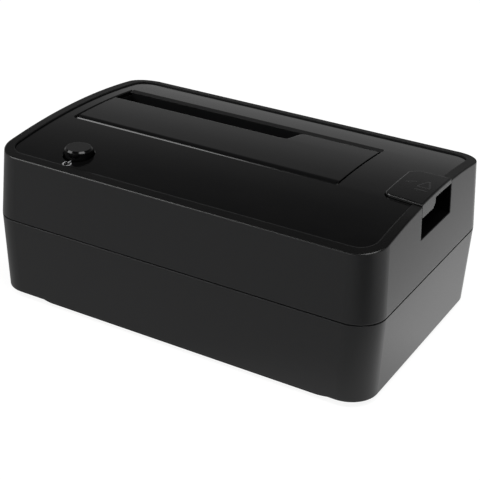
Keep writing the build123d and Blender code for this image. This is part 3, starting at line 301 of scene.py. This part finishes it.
def handling_marks():
    """Faint smears left by hands: stretched noise in patches, as a mask that dulls a gloss."""
    tree, start, end = effect("Handling Marks", {"Place": (VECTOR, None)}, {"Mask": FLOAT})
    place = start.outputs["Place"]
    streaks = stretched(tree, place, SMEAR_SCALE, SMEAR_TURN)
    smear = spread(tree, noise(tree, streaks, *SMEAR_GRAIN), *SMEAR_BAND)
    patch = spread(tree, noise(tree, place, *PATCH_GRAIN), *PATCH_BAND)
    tree.links.new(sums(tree, "MULTIPLY", smear, patch), end.inputs["Mask"])
    return tree


LINE_SCALE = (0.06, 1.0, 1.0)
LINE_DETAIL, LINE_ROUGHNESS = 3.0, 0.7
LINE_BAND = (0.3, 0.7)


def drawn_lines():
    """Fine parallel lines left by drawing or rolling metal: noise stretched along X."""
    tree, start, end = effect(
        "Drawn Lines",
        {"Place": (VECTOR, None), "Rate": (FLOAT, 4000.0)},
        {"Height": FLOAT, "Mask": FLOAT},
    )
    streaks = stretched(tree, start.outputs["Place"], LINE_SCALE)
    lines = noise(tree, streaks, start.outputs["Rate"], LINE_DETAIL, LINE_ROUGHNESS)
    tree.links.new(lines, end.inputs["Height"])
    tree.links.new(spread(tree, lines, *LINE_BAND), end.inputs["Mask"])
    return tree


SKIN, EDGES, DUST = eroded_skin(), soft_edges(), settled_dust()
MARKS, LINES = handling_marks(), drawn_lines()


def new_material(name):
    """A material with its tree, its shader and the Object coordinates."""
    made = bpy.data.materials.new(name)
    made.use_nodes = True
    tree = made.node_tree
    return made, tree, tree.nodes["Principled BSDF"], node(tree, "ShaderNodeTexCoord").outputs["Object"]


def use(tree, group, **inputs):
    """The group placed in a material with its own values; the sockets that it puts out."""
    made = node(tree, "ShaderNodeGroup", node_tree=group)
    for label, value in inputs.items():
        join(tree, made.inputs[label], value)
    return made.outputs


def bumped(tree, height, depth, **normal):
    """The normal that a height in metres gives, on top of another normal where there is one."""
    inputs = {"Height": height, "Distance": depth}
    return node(tree, "ShaderNodeBump", {**inputs, **normal}).outputs["Normal"]


def rim_mask(tree, place):
    """1 on the housing's top rim and its inner edge, 0 below. A point at Y lies under the crown by
    (Y - arch line)^2 / (2 * radius), which is added to its height before that is compared with the rim's."""
    parts = node(tree, "ShaderNodeSeparateXYZ", {0: place}).outputs
    offset = sums(tree, "SUBTRACT", parts["Y"], ARCH_LINE)
    drop = sums(tree, "DIVIDE", sums(tree, "MULTIPLY", offset, offset), 2 * ARCH_RADIUS)
    return spread(tree, sums(tree, "ADD", parts["Z"], drop), *RIM_BAND)


def rim_roughness(tree, place):
    """Roughness of the rim, which hands have polished at the front, by how far back a point lies."""
    parts = node(tree, "ShaderNodeSeparateXYZ", {0: place}).outputs
    return spread(tree, parts["Y"], *RIM_SKIN)


def pocket_mask(tree, place):
    """1 on the floor and the walls of the eject button's pocket, 0 on the outside: points that lie deeper
    than the leaning end wall, right of the button's left edge, between the pocket's front and back, and high
    up."""
    parts = node(tree, "ShaderNodeSeparateXYZ", {0: place}).outputs
    reach = sums(tree, "ADD", parts["X"], sums(tree, "MULTIPLY", parts["Z"], END_LEAN))
    aside = sums(tree, "ABSOLUTE", sums(tree, "SUBTRACT", parts["Y"], POCKET_MIDDLE))
    mask = spread(tree, reach, *POCKET_DEEP, 1.0, 0.0)
    for share in (
        spread(tree, parts["X"], *POCKET_LEFT),
        spread(tree, parts["Z"], *POCKET_LOW),
        spread(tree, aside, *POCKET_HALF, 1.0, 0.0),
    ):
        mask = sums(tree, "MULTIPLY", mask, share)
    return mask


# Moulded plastic: its darker speckles, its paler edges, how its roughness varies, and the dust on it
SPECKLE_SHADE = 0.82
RUBBED_GAIN, RUBBED_LIFT = 1.8, 0.02
SKIN_ROUGHNESS = (0.93, 1.07)
DUST_COLOUR = (0.16, 0.15, 0.14, 1.0)
DUST_ROUGHNESS = 0.4


def plastic(name, colour, roughness, skin=0.4 * MM, depth=0.01 * MM, edge=0.25 * MM, worn=0.25, dust=0.2,
            smear=0.0, specular=0.5, housing=False):
    """Moulded plastic: a skin of that size and depth, rubbed edges that go paler, dust on top, and smears
    that dull it. The housing also has its rim and its pocket, whose darker colours are painted shade."""
    made, tree, shader, place = new_material(name)
    grain = use(tree, SKIN, Place=place, Size=skin)
    edges = use(tree, EDGES, Place=place, Radius=edge)
    settled = use(tree, DUST, Place=place, Amount=dust)["Mask"]
    pale = tuple(min(1.0, RUBBED_GAIN * c + RUBBED_LIFT) for c in colour)
    shade = tuple(SPECKLE_SHADE * c for c in colour)
    body = blend(tree, grain["Speckle"], (*shade, 1.0), (*colour, 1.0))
    rough = spread(tree, grain["Speckle"], 0.0, 1.0, *(roughness * share for share in SKIN_ROUGHNESS))
    if smear:
        smeared = sums(tree, "MULTIPLY", use(tree, MARKS, Place=place)["Mask"], smear)
        rough = sums(tree, "ADD", rough, smeared)
    if housing:
        rim, pocket = rim_mask(tree, place), pocket_mask(tree, place)
        # Painted shade: the rim and the pocket take darker colours than the rest of the housing
        body = blend(tree, pocket, blend(tree, rim, body, RIM_SHADE_COLOUR), POCKET_SHADE_COLOUR)
        rough = between(tree, pocket, between(tree, rim, rough, rim_roughness(tree, place)), POCKET_SKIN)
    rubbed = blend(tree, sums(tree, "MULTIPLY", edges["Mask"], worn), body, (*pale, 1.0))
    rough = sums(tree, "ADD", rough, sums(tree, "MULTIPLY", settled, DUST_ROUGHNESS), clamp=True)
    tree.links.new(blend(tree, settled, rubbed, DUST_COLOUR), shader.inputs["Base Color"])
    tree.links.new(rough, shader.inputs["Roughness"])
    tree.links.new(bumped(tree, grain["Height"], depth, Normal=edges["Normal"]), shader.inputs["Normal"])
    shader.inputs["Specular IOR Level"].default_value = specular
    return made


# Metal: its rounded edges, where it has tarnished and how dark that is, how its roughness varies, and how
# fine and deep its lines are
METAL_EDGE = 0.15 * MM
TARNISH_GRAIN, TARNISH_BAND, TARNISH_SHADE = (160.0, 4.0), (0.45, 0.7), 0.55
METAL_ROUGHNESS = (0.8, 1.25)
METAL_LINE_RATE, METAL_LINE_DEPTH = 4000.0, 0.002 * MM


def metal(name, colour, roughness, tarnish=0.3):
    """Plated or drawn metal: fine lines, a little tarnish in patches, and rounded edges."""
    made, tree, shader, place = new_material(name)
    lines = use(tree, LINES, Place=place, Rate=METAL_LINE_RATE)
    edges = use(tree, EDGES, Place=place, Radius=METAL_EDGE)
    patches = spread(tree, noise(tree, place, *TARNISH_GRAIN), *TARNISH_BAND, 0.0, tarnish)
    dull = tuple(TARNISH_SHADE * c for c in colour)
    rough = spread(tree, lines["Mask"], 0.0, 1.0, *(roughness * share for share in METAL_ROUGHNESS))
    normal = bumped(tree, lines["Height"], METAL_LINE_DEPTH, Normal=edges["Normal"])
    tree.links.new(blend(tree, patches, (*colour, 1.0), (*dull, 1.0)), shader.inputs["Base Color"])
    tree.links.new(rough, shader.inputs["Roughness"])
    tree.links.new(normal, shader.inputs["Normal"])
    shader.inputs["Metallic"].default_value = 1.0
    return made


# Circuit board: its tracks, the solder mask beside and over them, and the mask's roughness
TRACK_RATE, TRACK_RANDOMNESS = 420.0, 0.85
TRACK_BAND, TRACK_DEPTH = (0.06, 0.1, 1.0, 0.0), 0.04 * MM
MASK_COLOUR, MASK_OVER_COPPER = (0.012, 0.09, 0.04, 1.0), (0.03, 0.2, 0.08, 1.0)
MASK_RATE, MASK_BAND = 300.0, (0.3, 0.7, 0.28, 0.42)


def circuit_board(name):
    """Solder mask over copper: the tracks are the square-cornered borders of cells, paler and a little raised
    through the mask."""
    made, tree, shader, place = new_material(name)
    lanes = cells(
        tree, place, TRACK_RATE, TRACK_RANDOMNESS, distance="CHEBYCHEV", feature="DISTANCE_TO_EDGE"
    )
    tracks = spread(tree, lanes, *TRACK_BAND)
    rough = spread(tree, noise(tree, place, MASK_RATE), *MASK_BAND)
    tree.links.new(blend(tree, tracks, MASK_COLOUR, MASK_OVER_COPPER), shader.inputs["Base Color"])
    tree.links.new(bumped(tree, tracks, TRACK_DEPTH), shader.inputs["Normal"])
    tree.links.new(rough, shader.inputs["Roughness"])
    return made


# Finishes by the record's material slots. Skin, depth and edge are in metres
FINISHES = {
    "housing": plastic(
        "housing_plastic", (0.0062, 0.0064, 0.0069), 0.36,
        skin=0.35 * MM, edge=0.45 * MM, worn=0.06, dust=0.03, housing=True,
    ),
    "panel": plastic(
        "panel_gloss", (0.0026, 0.0026, 0.0028), 0.1,
        skin=0.8 * MM, depth=0.0006 * MM, edge=0.1 * MM, worn=0.02, dust=0.02, smear=0.12,
    ),
    "flap": plastic(
        "flap_gloss", (0.0028, 0.0028, 0.003), 0.13,
        skin=0.6 * MM, depth=0.001 * MM, worn=0.05, dust=0.02, smear=0.1,
    ),
    "button": plastic(
        "button_gloss", (0.0024, 0.0024, 0.0026), 0.1,
        skin=0.6 * MM, depth=0.0006 * MM, worn=0.02, dust=0.02, smear=0.1, specular=0.3,
    ),
    "eject": plastic(
        "eject_satin", (0.003, 0.003, 0.0032), 0.18,
        skin=0.5 * MM, depth=0.002 * MM, edge=0.1 * MM, worn=0.05, dust=0.02, smear=0.1,
    ),
    "bay": plastic("bay_plastic", (0.0022, 0.0022, 0.0024), 0.5, skin=0.5 * MM, worn=0.05, dust=0.02),
    "rubber": plastic(
        "foot_rubber", (0.03, 0.03, 0.031), 0.85,
        skin=0.6 * MM, depth=0.03 * MM, edge=0.3 * MM, worn=0.1, dust=0.0, specular=0.3,
    ),
    "steel": metal("zinc_steel", (0.6, 0.6, 0.62), 0.32),
    "spring_steel": metal("spring_wire", (0.42, 0.42, 0.44), 0.28),
    "board": circuit_board("solder_mask"),
    "connector": plastic("connector_plastic", (0.014, 0.014, 0.014), 0.4, depth=0.006 * MM),
    "port_shell": metal("nickel_shell", (0.34, 0.335, 0.32), 0.4, tarnish=0.25),
    "chip": plastic("chip_epoxy", (0.03, 0.03, 0.032), 0.6, skin=0.2 * MM, depth=0.008 * MM),
    "can": metal("aluminium_can", (0.7, 0.7, 0.72), 0.3),
    "inductor": plastic("ferrite", (0.08, 0.08, 0.085), 0.7, skin=0.5 * MM, depth=0.03 * MM),
    "led": plastic(
        "led_lens", (0.75, 0.8, 0.85), 0.15, skin=0.6 * MM, depth=0.001 * MM, worn=0.0, dust=0.0
    ),
    "cable": plastic("ribbon_sheath", (0.42, 0.42, 0.43), 0.5, depth=0.006 * MM),
    "acetal": plastic("acetal", (0.62, 0.61, 0.57), 0.45, skin=0.5 * MM, depth=0.004 * MM, dust=0.1),
}

# Finishes that only new pieces have
INK = plastic(
    "printed_ink", (0.36, 0.36, 0.37), 0.5,
    skin=0.2 * MM, depth=0.002 * MM, edge=0.05 * MM, worn=0.0, dust=0.0,
)
# Painted highlight: the raised eject sign gets a paler finish than the button, for the glints on its relief
RELIEF_GLINT = plastic(
    "relief_painted_glint", (0.02, 0.02, 0.0205), 0.3,
    skin=0.2 * MM, depth=0.002 * MM, edge=0.05 * MM, worn=0.0, dust=0.0,
)
GILT = metal("contact_gilt", (0.83, 0.62, 0.28), 0.25, tarnish=0.15)


def dress_nodes():
    """Every CAD node gets the finish of its slot in the record."""
    for part in frame["record"]["subparts"]:
        mesh = nodes[part["node"]].data
        mesh.materials.clear()
        mesh.materials.append(FINISHES[part["material_slot"]])


# New pieces: grids of points whose rows are rings, closed round each ring and at both ends

STROKE_SIDES = 10
STROKE_STEPS = 16
ENDS_POWER = 8
MERGE_DISTANCE = 0.0001 * MM


def arch_height(y, lowered):
    """Height of the arched top at y: the circle of the arch, less what the surface lies below the crown."""
    return CROWN_HEIGHT - lowered - ARCH_RADIUS + np.sqrt(ARCH_RADIUS**2 - (y - ARCH_LINE) ** 2)


def on_arch(across, along, lowered):
    """Points on the arched top at those X and Y."""
    return np.stack([across, along, arch_height(along, lowered)], -1)


def drawn_in(count):
    """Thickness along a stroke, from 0 at each end to 1: the root of 1 - s^8, with s from -1 to 1."""
    share = np.linspace(-1.0, 1.0, count)
    return np.sqrt(np.clip(1.0 - share**ENDS_POWER, 0.0, 1.0))


def around(sides):
    """Angles of the points of a ring."""
    return np.linspace(0.0, 2 * np.pi, sides, endpoint=False)


def swept_oval(line, side, up, half_width, half_height, thickness):
    """An oval carried along a line: at angle t of its ring a point lies half_width * cos t to the side and
    half_height * sin t up, both times the thickness there. Where that is 0 the ring is a pole."""
    turn = around(STROKE_SIDES)[None, :, None]
    ring = half_width * np.cos(turn) * side[:, None] + half_height * np.sin(turn) * up
    return line[:, None] + thickness[:, None, None] * ring


def straight_mark(start, end, lowered, half_width, half_height):
    """A raised stroke on the arched top, straight from one (x, y) to another."""
    start, end = np.asarray(start), np.asarray(end)
    line = start + (end - start) * np.linspace(0.0, 1.0, STROKE_STEPS)[:, None]
    ahead = (end - start) / np.linalg.norm(end - start)
    side = np.tile((ahead[1], -ahead[0], 0.0), (STROKE_STEPS, 1))
    points = on_arch(line[:, 0], line[:, 1], lowered)
    return swept_oval(points, side, UP, half_width, half_height, drawn_in(STROKE_STEPS))


def ringed_piece(name, parts, body, finish, smooth=True):
    """One piece of closed surfaces. Each part is a row of rings; point j of ring i joins its next point and
    the same two of ring i + 1. Points that lie on each other, as at a pole, become one."""
    points, faces, count = [], [], 0
    for rings in parts:
        rows, sides = rings.shape[:2]
        i, j = np.meshgrid(np.arange(rows - 1), np.arange(sides), indexing="ij")
        after = (j + 1) % sides
        quads = np.stack([i * sides + j, i * sides + after, (i + 1) * sides + after, (i + 1) * sides + j], -1)
        points.append(rings.reshape(-1, 3))
        faces.append(quads.reshape(-1, 4) + count)
        count += rows * sides
    mesh = bpy.data.meshes.new(name)
    mesh.from_pydata(np.concatenate(points), [], np.concatenate(faces))
    shell = bmesh.new()
    shell.from_mesh(mesh)
    bmesh.ops.remove_doubles(shell, verts=shell.verts, dist=MERGE_DISTANCE)
    bmesh.ops.recalc_face_normals(shell, faces=shell.faces)
    shell.to_mesh(mesh)
    shell.free()
    if smooth:
        mesh.shade_smooth()
    mesh.materials.append(finish)
    piece = bpy.data.objects.new(name, mesh)
    bpy.context.scene.collection.objects.link(piece)
    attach(piece, body)
    return piece


# Standby sign: its middle, its ring and how far that is open to each side of the back, and its bar
STANDBY_PLACE = np.array((-43.9, -39.1)) * MM
STANDBY_RADIUS = 1.35 * MM
STANDBY_OPENING = math.radians(38)
STANDBY_STEPS = 48
STANDBY_BAR = (0.35 * MM, 2.1 * MM)
STANDBY_STROKE = 0.24 * MM
INK_HEIGHT = 0.03 * MM


def standby_mark():
    """Standby sign printed in front of the power button: at the angle a from the back, the ring's line lies
    radius * (sin a, cos a) from the middle, and a bar stands in its opening."""
    turn = np.linspace(STANDBY_OPENING, 2 * math.pi - STANDBY_OPENING, STANDBY_STEPS)
    side = np.stack([np.sin(turn), np.cos(turn), np.zeros_like(turn)], -1)
    ring = STANDBY_PLACE + STANDBY_RADIUS * side[:, :2]
    line = on_arch(ring[:, 0], ring[:, 1], PANEL_RECESS)
    arc = swept_oval(line, side, UP, STANDBY_STROKE, INK_HEIGHT, drawn_in(STANDBY_STEPS))
    ends = [STANDBY_PLACE + np.array((0.0, reach)) for reach in STANDBY_BAR]
    bar = straight_mark(*ends, PANEL_RECESS, STANDBY_STROKE, INK_HEIGHT)
    ringed_piece("standby_mark", [arc, bar], "root", INK)


# Eject sign: the middle of the triangle's base, its size, the bar in front of it, and the rib beside it
EJECT_MARK_PLACE = np.array((66.3, 0.6)) * MM
EJECT_MARK_WIDTH = 4.4 * MM
EJECT_MARK_HEIGHT = 5.4 * MM
EJECT_MARK_GAP = 2.2 * MM
EJECT_RIB = ((59.6 * MM, 2.1 * MM), (62.8 * MM, 4.0 * MM))
EJECT_STROKE = 0.34 * MM
EJECT_RELIEF = 0.03 * MM
CAP_PROUD = 0.6 * MM


def eject_mark():
    """Raised eject sign on the button: an open triangle over a bar, and a short rib at its left. Its paler
    finish is a painted highlight for the glints on the raised strokes.
    """
    half = EJECT_MARK_WIDTH / 2
    offsets = ((-half, 0.0), (half, 0.0), (0.0, EJECT_MARK_HEIGHT))
    corners = [EJECT_MARK_PLACE + np.array(offset) for offset in offsets]
    bar = tuple(EJECT_MARK_PLACE + np.array((end * half, -EJECT_MARK_GAP)) for end in (-1, 1))
    lines = [*zip(corners, corners[1:] + corners[:1]), bar, EJECT_RIB]
    strokes = [straight_mark(*line, -CAP_PROUD, EJECT_STROKE, EJECT_RELIEF) for line in lines]
    ringed_piece("eject_mark", strokes, "eject_body", RELIEF_GLINT)


# Eject spring: its wire, the sides of its ring, its turns, and the steps along it
COIL_WIRE = 0.8 * MM
COIL_SIDES = 12
COIL_TURNS = 6
COIL_STEPS = 144


def eject_coil():
    """Spring under the stem's clip: a round wire along a helix. At the share u of its length the wire's
    middle is at the angle 2 pi * turns * u and has risen by rise * u; a point of its ring at angle t lies
    half a wire * cos t outwards and half a wire * sin t along the helix's own upright. Both ends are flat."""
    low, high = (np.array(corner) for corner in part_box("eject_spring"))
    middle = (low + high) / 2
    radius = (high[0] - low[0] - COIL_WIRE) / 2
    rise = high[2] - low[2] - COIL_WIRE
    climb = rise / (2 * np.pi * COIL_TURNS)
    share = np.concatenate(((0.0,), np.linspace(0.0, 1.0, COIL_STEPS + 1), (1.0,)))
    thick = np.concatenate(((0.0,), np.full(COIL_STEPS + 1, COIL_WIRE / 2), (0.0,)))[:, None, None]
    angle = 2 * np.pi * COIL_TURNS * share
    flat = np.zeros_like(angle)
    out = np.stack([np.cos(angle), np.sin(angle), flat], -1)
    upright = np.stack([climb * np.sin(angle), -climb * np.cos(angle), flat + radius], -1)
    upright /= math.hypot(climb, radius)
    foot = np.array((middle[0], middle[1], low[2] + COIL_WIRE / 2))
    line = foot + radius * out + rise * share[:, None] * UP
    turn = around(COIL_SIDES)[None, :, None]
    wire = line[:, None] + thick * (np.cos(turn) * out[:, None] + np.sin(turn) * upright[:, None])
    piece = ringed_piece("eject_coil", [wire], "root", FINISHES["spring_steel"])
    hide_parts("eject_spring")
    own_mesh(piece)


# Dark strip at the back of the bay, as painted shade over the opening's back chamfer: its ends, the edge of
# the ledge and of the opening, and its own thickness
BAY_ENDS = (-63.1 * MM, 41.1 * MM)
BAY_BACK = 25.0 * MM
OPENING_BACK = 26.8 * MM
LEDGE_RECESS = 1.0 * MM
SHADE_STRIP_OVERLAP = 0.42 * MM
SHADE_STRIP_LIFT = 0.012 * MM
SHADE_STRIP_ROOT = 0.2 * MM


def bay_shade_strip():
    """Sloped strip of dark bay plastic at the back of the opening: it runs from the panel's edge down to the
    edge of the ledge and covers the opening's back chamfer, as painted shade where that chamfer would show a
    highlight. Its outline in (y, z) has those two edges on top and its root below them; the bar's rings are
    the outline's middle, the outline at each end, and its middle again."""
    # Painted shade: a dark strip laid over the back chamfer of the opening
    far = OPENING_BACK + SHADE_STRIP_OVERLAP
    high = arch_height(far, PANEL_RECESS) + SHADE_STRIP_LIFT
    low = arch_height(BAY_BACK, LEDGE_RECESS) + SHADE_STRIP_LIFT
    root = low - SHADE_STRIP_ROOT
    outline = np.array([(far, high), (BAY_BACK, low), (BAY_BACK, root), (far, root)])
    middle = np.broadcast_to(outline.mean(0), outline.shape)
    left, right = BAY_ENDS
    rings = ((left, middle), (left, outline), (right, outline), (right, middle))
    bar = np.stack([np.column_stack((np.full(len(shape), x), shape)) for x, shape in rings])
    ringed_piece("bay_shade_strip", [bar], "root", FINISHES["bay"], smooth=False)


# Drive connector: the middle of its tongues, their widths, the gap between them and half their thickness;
# then its contacts: their pitch, how many each tongue has, from where to where they rise, and their section
CONNECTOR_PLACE = (-41.0 * MM, 21.0 * MM)
POWER_TONGUE, DATA_TONGUE, TONGUE_GAP = 20.8 * MM, 10.4 * MM, 2.4 * MM
TONGUE_HALF = 0.65 * MM
CONTACT_PITCH = 1.27 * MM
POWER_CONTACT_COUNT, DATA_CONTACT_COUNT = 15, 7
CONTACT_HEIGHTS = (17.4 * MM, 21.3 * MM)
CONTACT_STEPS = 10
CONTACT_HALF = 0.36 * MM
CONTACT_PROUD = 0.07 * MM


def contact_strip(place):
    """A flattened oval carried straight up the front of a tongue at that X, drawn in to a pole at each end:
    half a contact * cos t to the side and its relief * sin t to the back."""
    face = CONNECTOR_PLACE[1] - TONGUE_HALF
    line = np.tile((place, face, 0.0), (CONTACT_STEPS, 1))
    line[:, 2] = np.linspace(*CONTACT_HEIGHTS, CONTACT_STEPS)
    side = np.tile((1.0, 0.0, 0.0), (CONTACT_STEPS, 1))
    backward = np.array((0.0, 1.0, 0.0))
    return swept_oval(line, side, backward, CONTACT_HALF, CONTACT_PROUD, drawn_in(CONTACT_STEPS))


def drive_contacts():
    """Gilt contact strips up the front of the two tongues, at an even pitch about each tongue's middle."""
    left = CONNECTOR_PLACE[0] - (POWER_TONGUE + DATA_TONGUE + TONGUE_GAP) / 2
    middles = (left + POWER_TONGUE / 2, left + POWER_TONGUE + TONGUE_GAP + DATA_TONGUE / 2)
    places = np.concatenate([
        middle + CONTACT_PITCH * (np.arange(count) - (count - 1) / 2)
        for middle, count in zip(middles, (POWER_CONTACT_COUNT, DATA_CONTACT_COUNT))
    ])
    ringed_piece("drive_contacts", [contact_strip(place) for place in places], "root", GILT)


# Floor: half its side, its colour under the light and as the camera sees it, how bright it is by itself, and
# what glossy faces see of it: dim in front and bright behind, and dimmer to the right and far away
FLOOR_HALF = 4.0
FLOOR_WHITE = (0.9, 0.9, 0.9, 1.0)
FLOOR_CATCH = (0.2, 0.2, 0.2, 1.0)
FLOOR_GLOW = 0.9
FLOOR_SLOPE = (0.3, 0.95, 0.0)
FLOOR_TURN = (-0.048, 0.03, 0.41, 1.25)
FLOOR_NEAR = (0.088, 0.13, 1.0, 0.5)
FLOOR_FAR = (0.2, 0.6, 1.0, 0.55)

# Room: how bright it is by the height of the direction, and by how far that points to the right
ROOM = (
    (-0.05, 0.6), (0.0, 0.5), (0.06, 0.42), (0.17, 0.37), (0.31, 0.25), (0.42, 0.18), (0.5, 0.125),
    (0.57, 0.085), (0.7, 0.055), (1.0, 0.05),
)
ROOM_SIDES = (-0.7, -0.3, 1.15, 0.8)

# Lamps: name, place, power, the two sides, and shape
LAMPS = (
    ("lamp_over", (-0.68, -0.37, 0.78), 3.9, (0.55, 0.55), "DISK"),
    ("lamp_top", (0.4, -0.1, 1.1), 7.0, (0.6, 0.6), "SQUARE"),
    ("lamp_front", (-0.35, -0.9, 0.5), 1.6, (0.9, 0.2), "RECTANGLE"),
)
LAMP_AIM = Vector((0, 0, 0.02))


def floor_paint():
    """Pale matt paint. The camera sees it white, with a diffuse share that keeps the shadow; glossy and clear
    faces see it bright behind the object and dim in front of it; from below it is clear."""
    paint = bpy.data.materials.new("floor_white")
    paint.use_nodes = True
    tree = paint.node_tree
    tree.nodes.clear()
    rays = node(tree, "ShaderNodeLightPath").outputs
    camera = rays["Is Camera Ray"]
    mirrored = sums(tree, "MAXIMUM", rays["Is Glossy Ray"], rays["Is Transmission Ray"])
    place = node(tree, "ShaderNodeTexCoord").outputs["Object"]
    along = node(tree, "ShaderNodeVectorMath", {0: place, 1: FLOOR_SLOPE}, operation="DOT_PRODUCT")
    across = node(tree, "ShaderNodeSeparateXYZ", {0: place}).outputs["X"]
    level = spread(tree, along.outputs["Value"], *FLOOR_TURN)
    for share in (spread(tree, across, *FLOOR_NEAR), spread(tree, along.outputs["Value"], *FLOOR_FAR)):
        level = sums(tree, "MULTIPLY", level, share)
    glow = sums(
        tree, "ADD", sums(tree, "MULTIPLY", camera, FLOOR_GLOW), sums(tree, "MULTIPLY", mirrored, level)
    )
    colour = blend(tree, mirrored, blend(tree, camera, FLOOR_WHITE, FLOOR_CATCH), BLACK)
    matt = node(tree, "ShaderNodeBsdfDiffuse", {"Color": colour}).outputs[0]
    light = node(tree, "ShaderNodeEmission", {"Color": WHITE, "Strength": glow}).outputs[0]
    pale = node(tree, "ShaderNodeAddShader", {0: matt, 1: light}).outputs[0]
    under = node(tree, "ShaderNodeNewGeometry").outputs["Backfacing"]
    clear = node(tree, "ShaderNodeBsdfTransparent").outputs[0]
    shown = node(tree, "ShaderNodeMixShader", {0: under, 1: pale, 2: clear}).outputs[0]
    node(tree, "ShaderNodeOutputMaterial", {"Surface": shown})
    return paint


def make_floor():
    """Flat square floor at height 0, facing up."""
    half = FLOOR_HALF
    mesh = bpy.data.meshes.new("floor")
    corners = [(-half, -half, 0), (half, -half, 0), (half, half, 0), (-half, half, 0)]
    mesh.from_pydata(corners, [], [(0, 1, 2, 3)])
    mesh.materials.append(floor_paint())
    floor = bpy.data.objects.new("floor", mesh)
    bpy.context.scene.collection.objects.link(floor)


def make_room():
    """A room that is bright at the horizon and dark above, a little brighter to the left, as glossy faces
    show it; white to the camera and through clear faces."""
    world = bpy.data.worlds.new("studio")
    bpy.context.scene.world = world
    world.use_nodes = True
    tree = world.node_tree
    tree.nodes.clear()
    aim = node(tree, "ShaderNodeSeparateXYZ", {0: node(tree, "ShaderNodeTexCoord").outputs["Generated"]})
    low, high = ROOM[0][0], ROOM[-1][0]
    ramp = node(tree, "ShaderNodeValToRGB", {"Fac": spread(tree, aim.outputs["Z"], low, high)})
    stops = ramp.color_ramp.elements
    for stop, (height, level) in zip((stops[0], stops[1]), (ROOM[0], ROOM[-1])):
        stop.position, stop.color = (height - low) / (high - low), (level, level, level, 1)
    for height, level in ROOM[1:-1]:
        stops.new((height - low) / (high - low)).color = (level, level, level, 1)
    rays = node(tree, "ShaderNodeLightPath").outputs
    seen = sums(tree, "MAXIMUM", rays["Is Camera Ray"], rays["Is Transmission Ray"])
    strength = sums(tree, "MAXIMUM", spread(tree, aim.outputs["X"], *ROOM_SIDES), seen)
    shade = blend(tree, seen, ramp.outputs["Color"], WHITE)
    light = node(tree, "ShaderNodeBackground", {"Color": shade, "Strength": strength}).outputs[0]
    node(tree, "ShaderNodeOutputWorld", {"Surface": light})


def make_lamps():
    """Large soft lamps, each aimed at the object."""
    for name, place, power, sides, shape in LAMPS:
        data = bpy.data.lights.new(name, "AREA")
        data.energy, data.shape = power, shape
        data.size, data.size_y = sides
        lamp = bpy.data.objects.new(name, data)
        lamp.location = place
        lamp.rotation_mode = "QUATERNION"
        lamp.rotation_quaternion = (LAMP_AIM - Vector(place)).to_track_quat("-Z", "Y")
        bpy.context.scene.collection.objects.link(lamp)


make_camera()
dress_nodes()
standby_mark()
eject_mark()
eject_coil()
bay_shade_strip()
drive_contacts()
make_floor()
make_room()
make_lamps()
bpy.context.scene.view_settings.view_transform = "Standard"
bpy.context.view_layer.update()
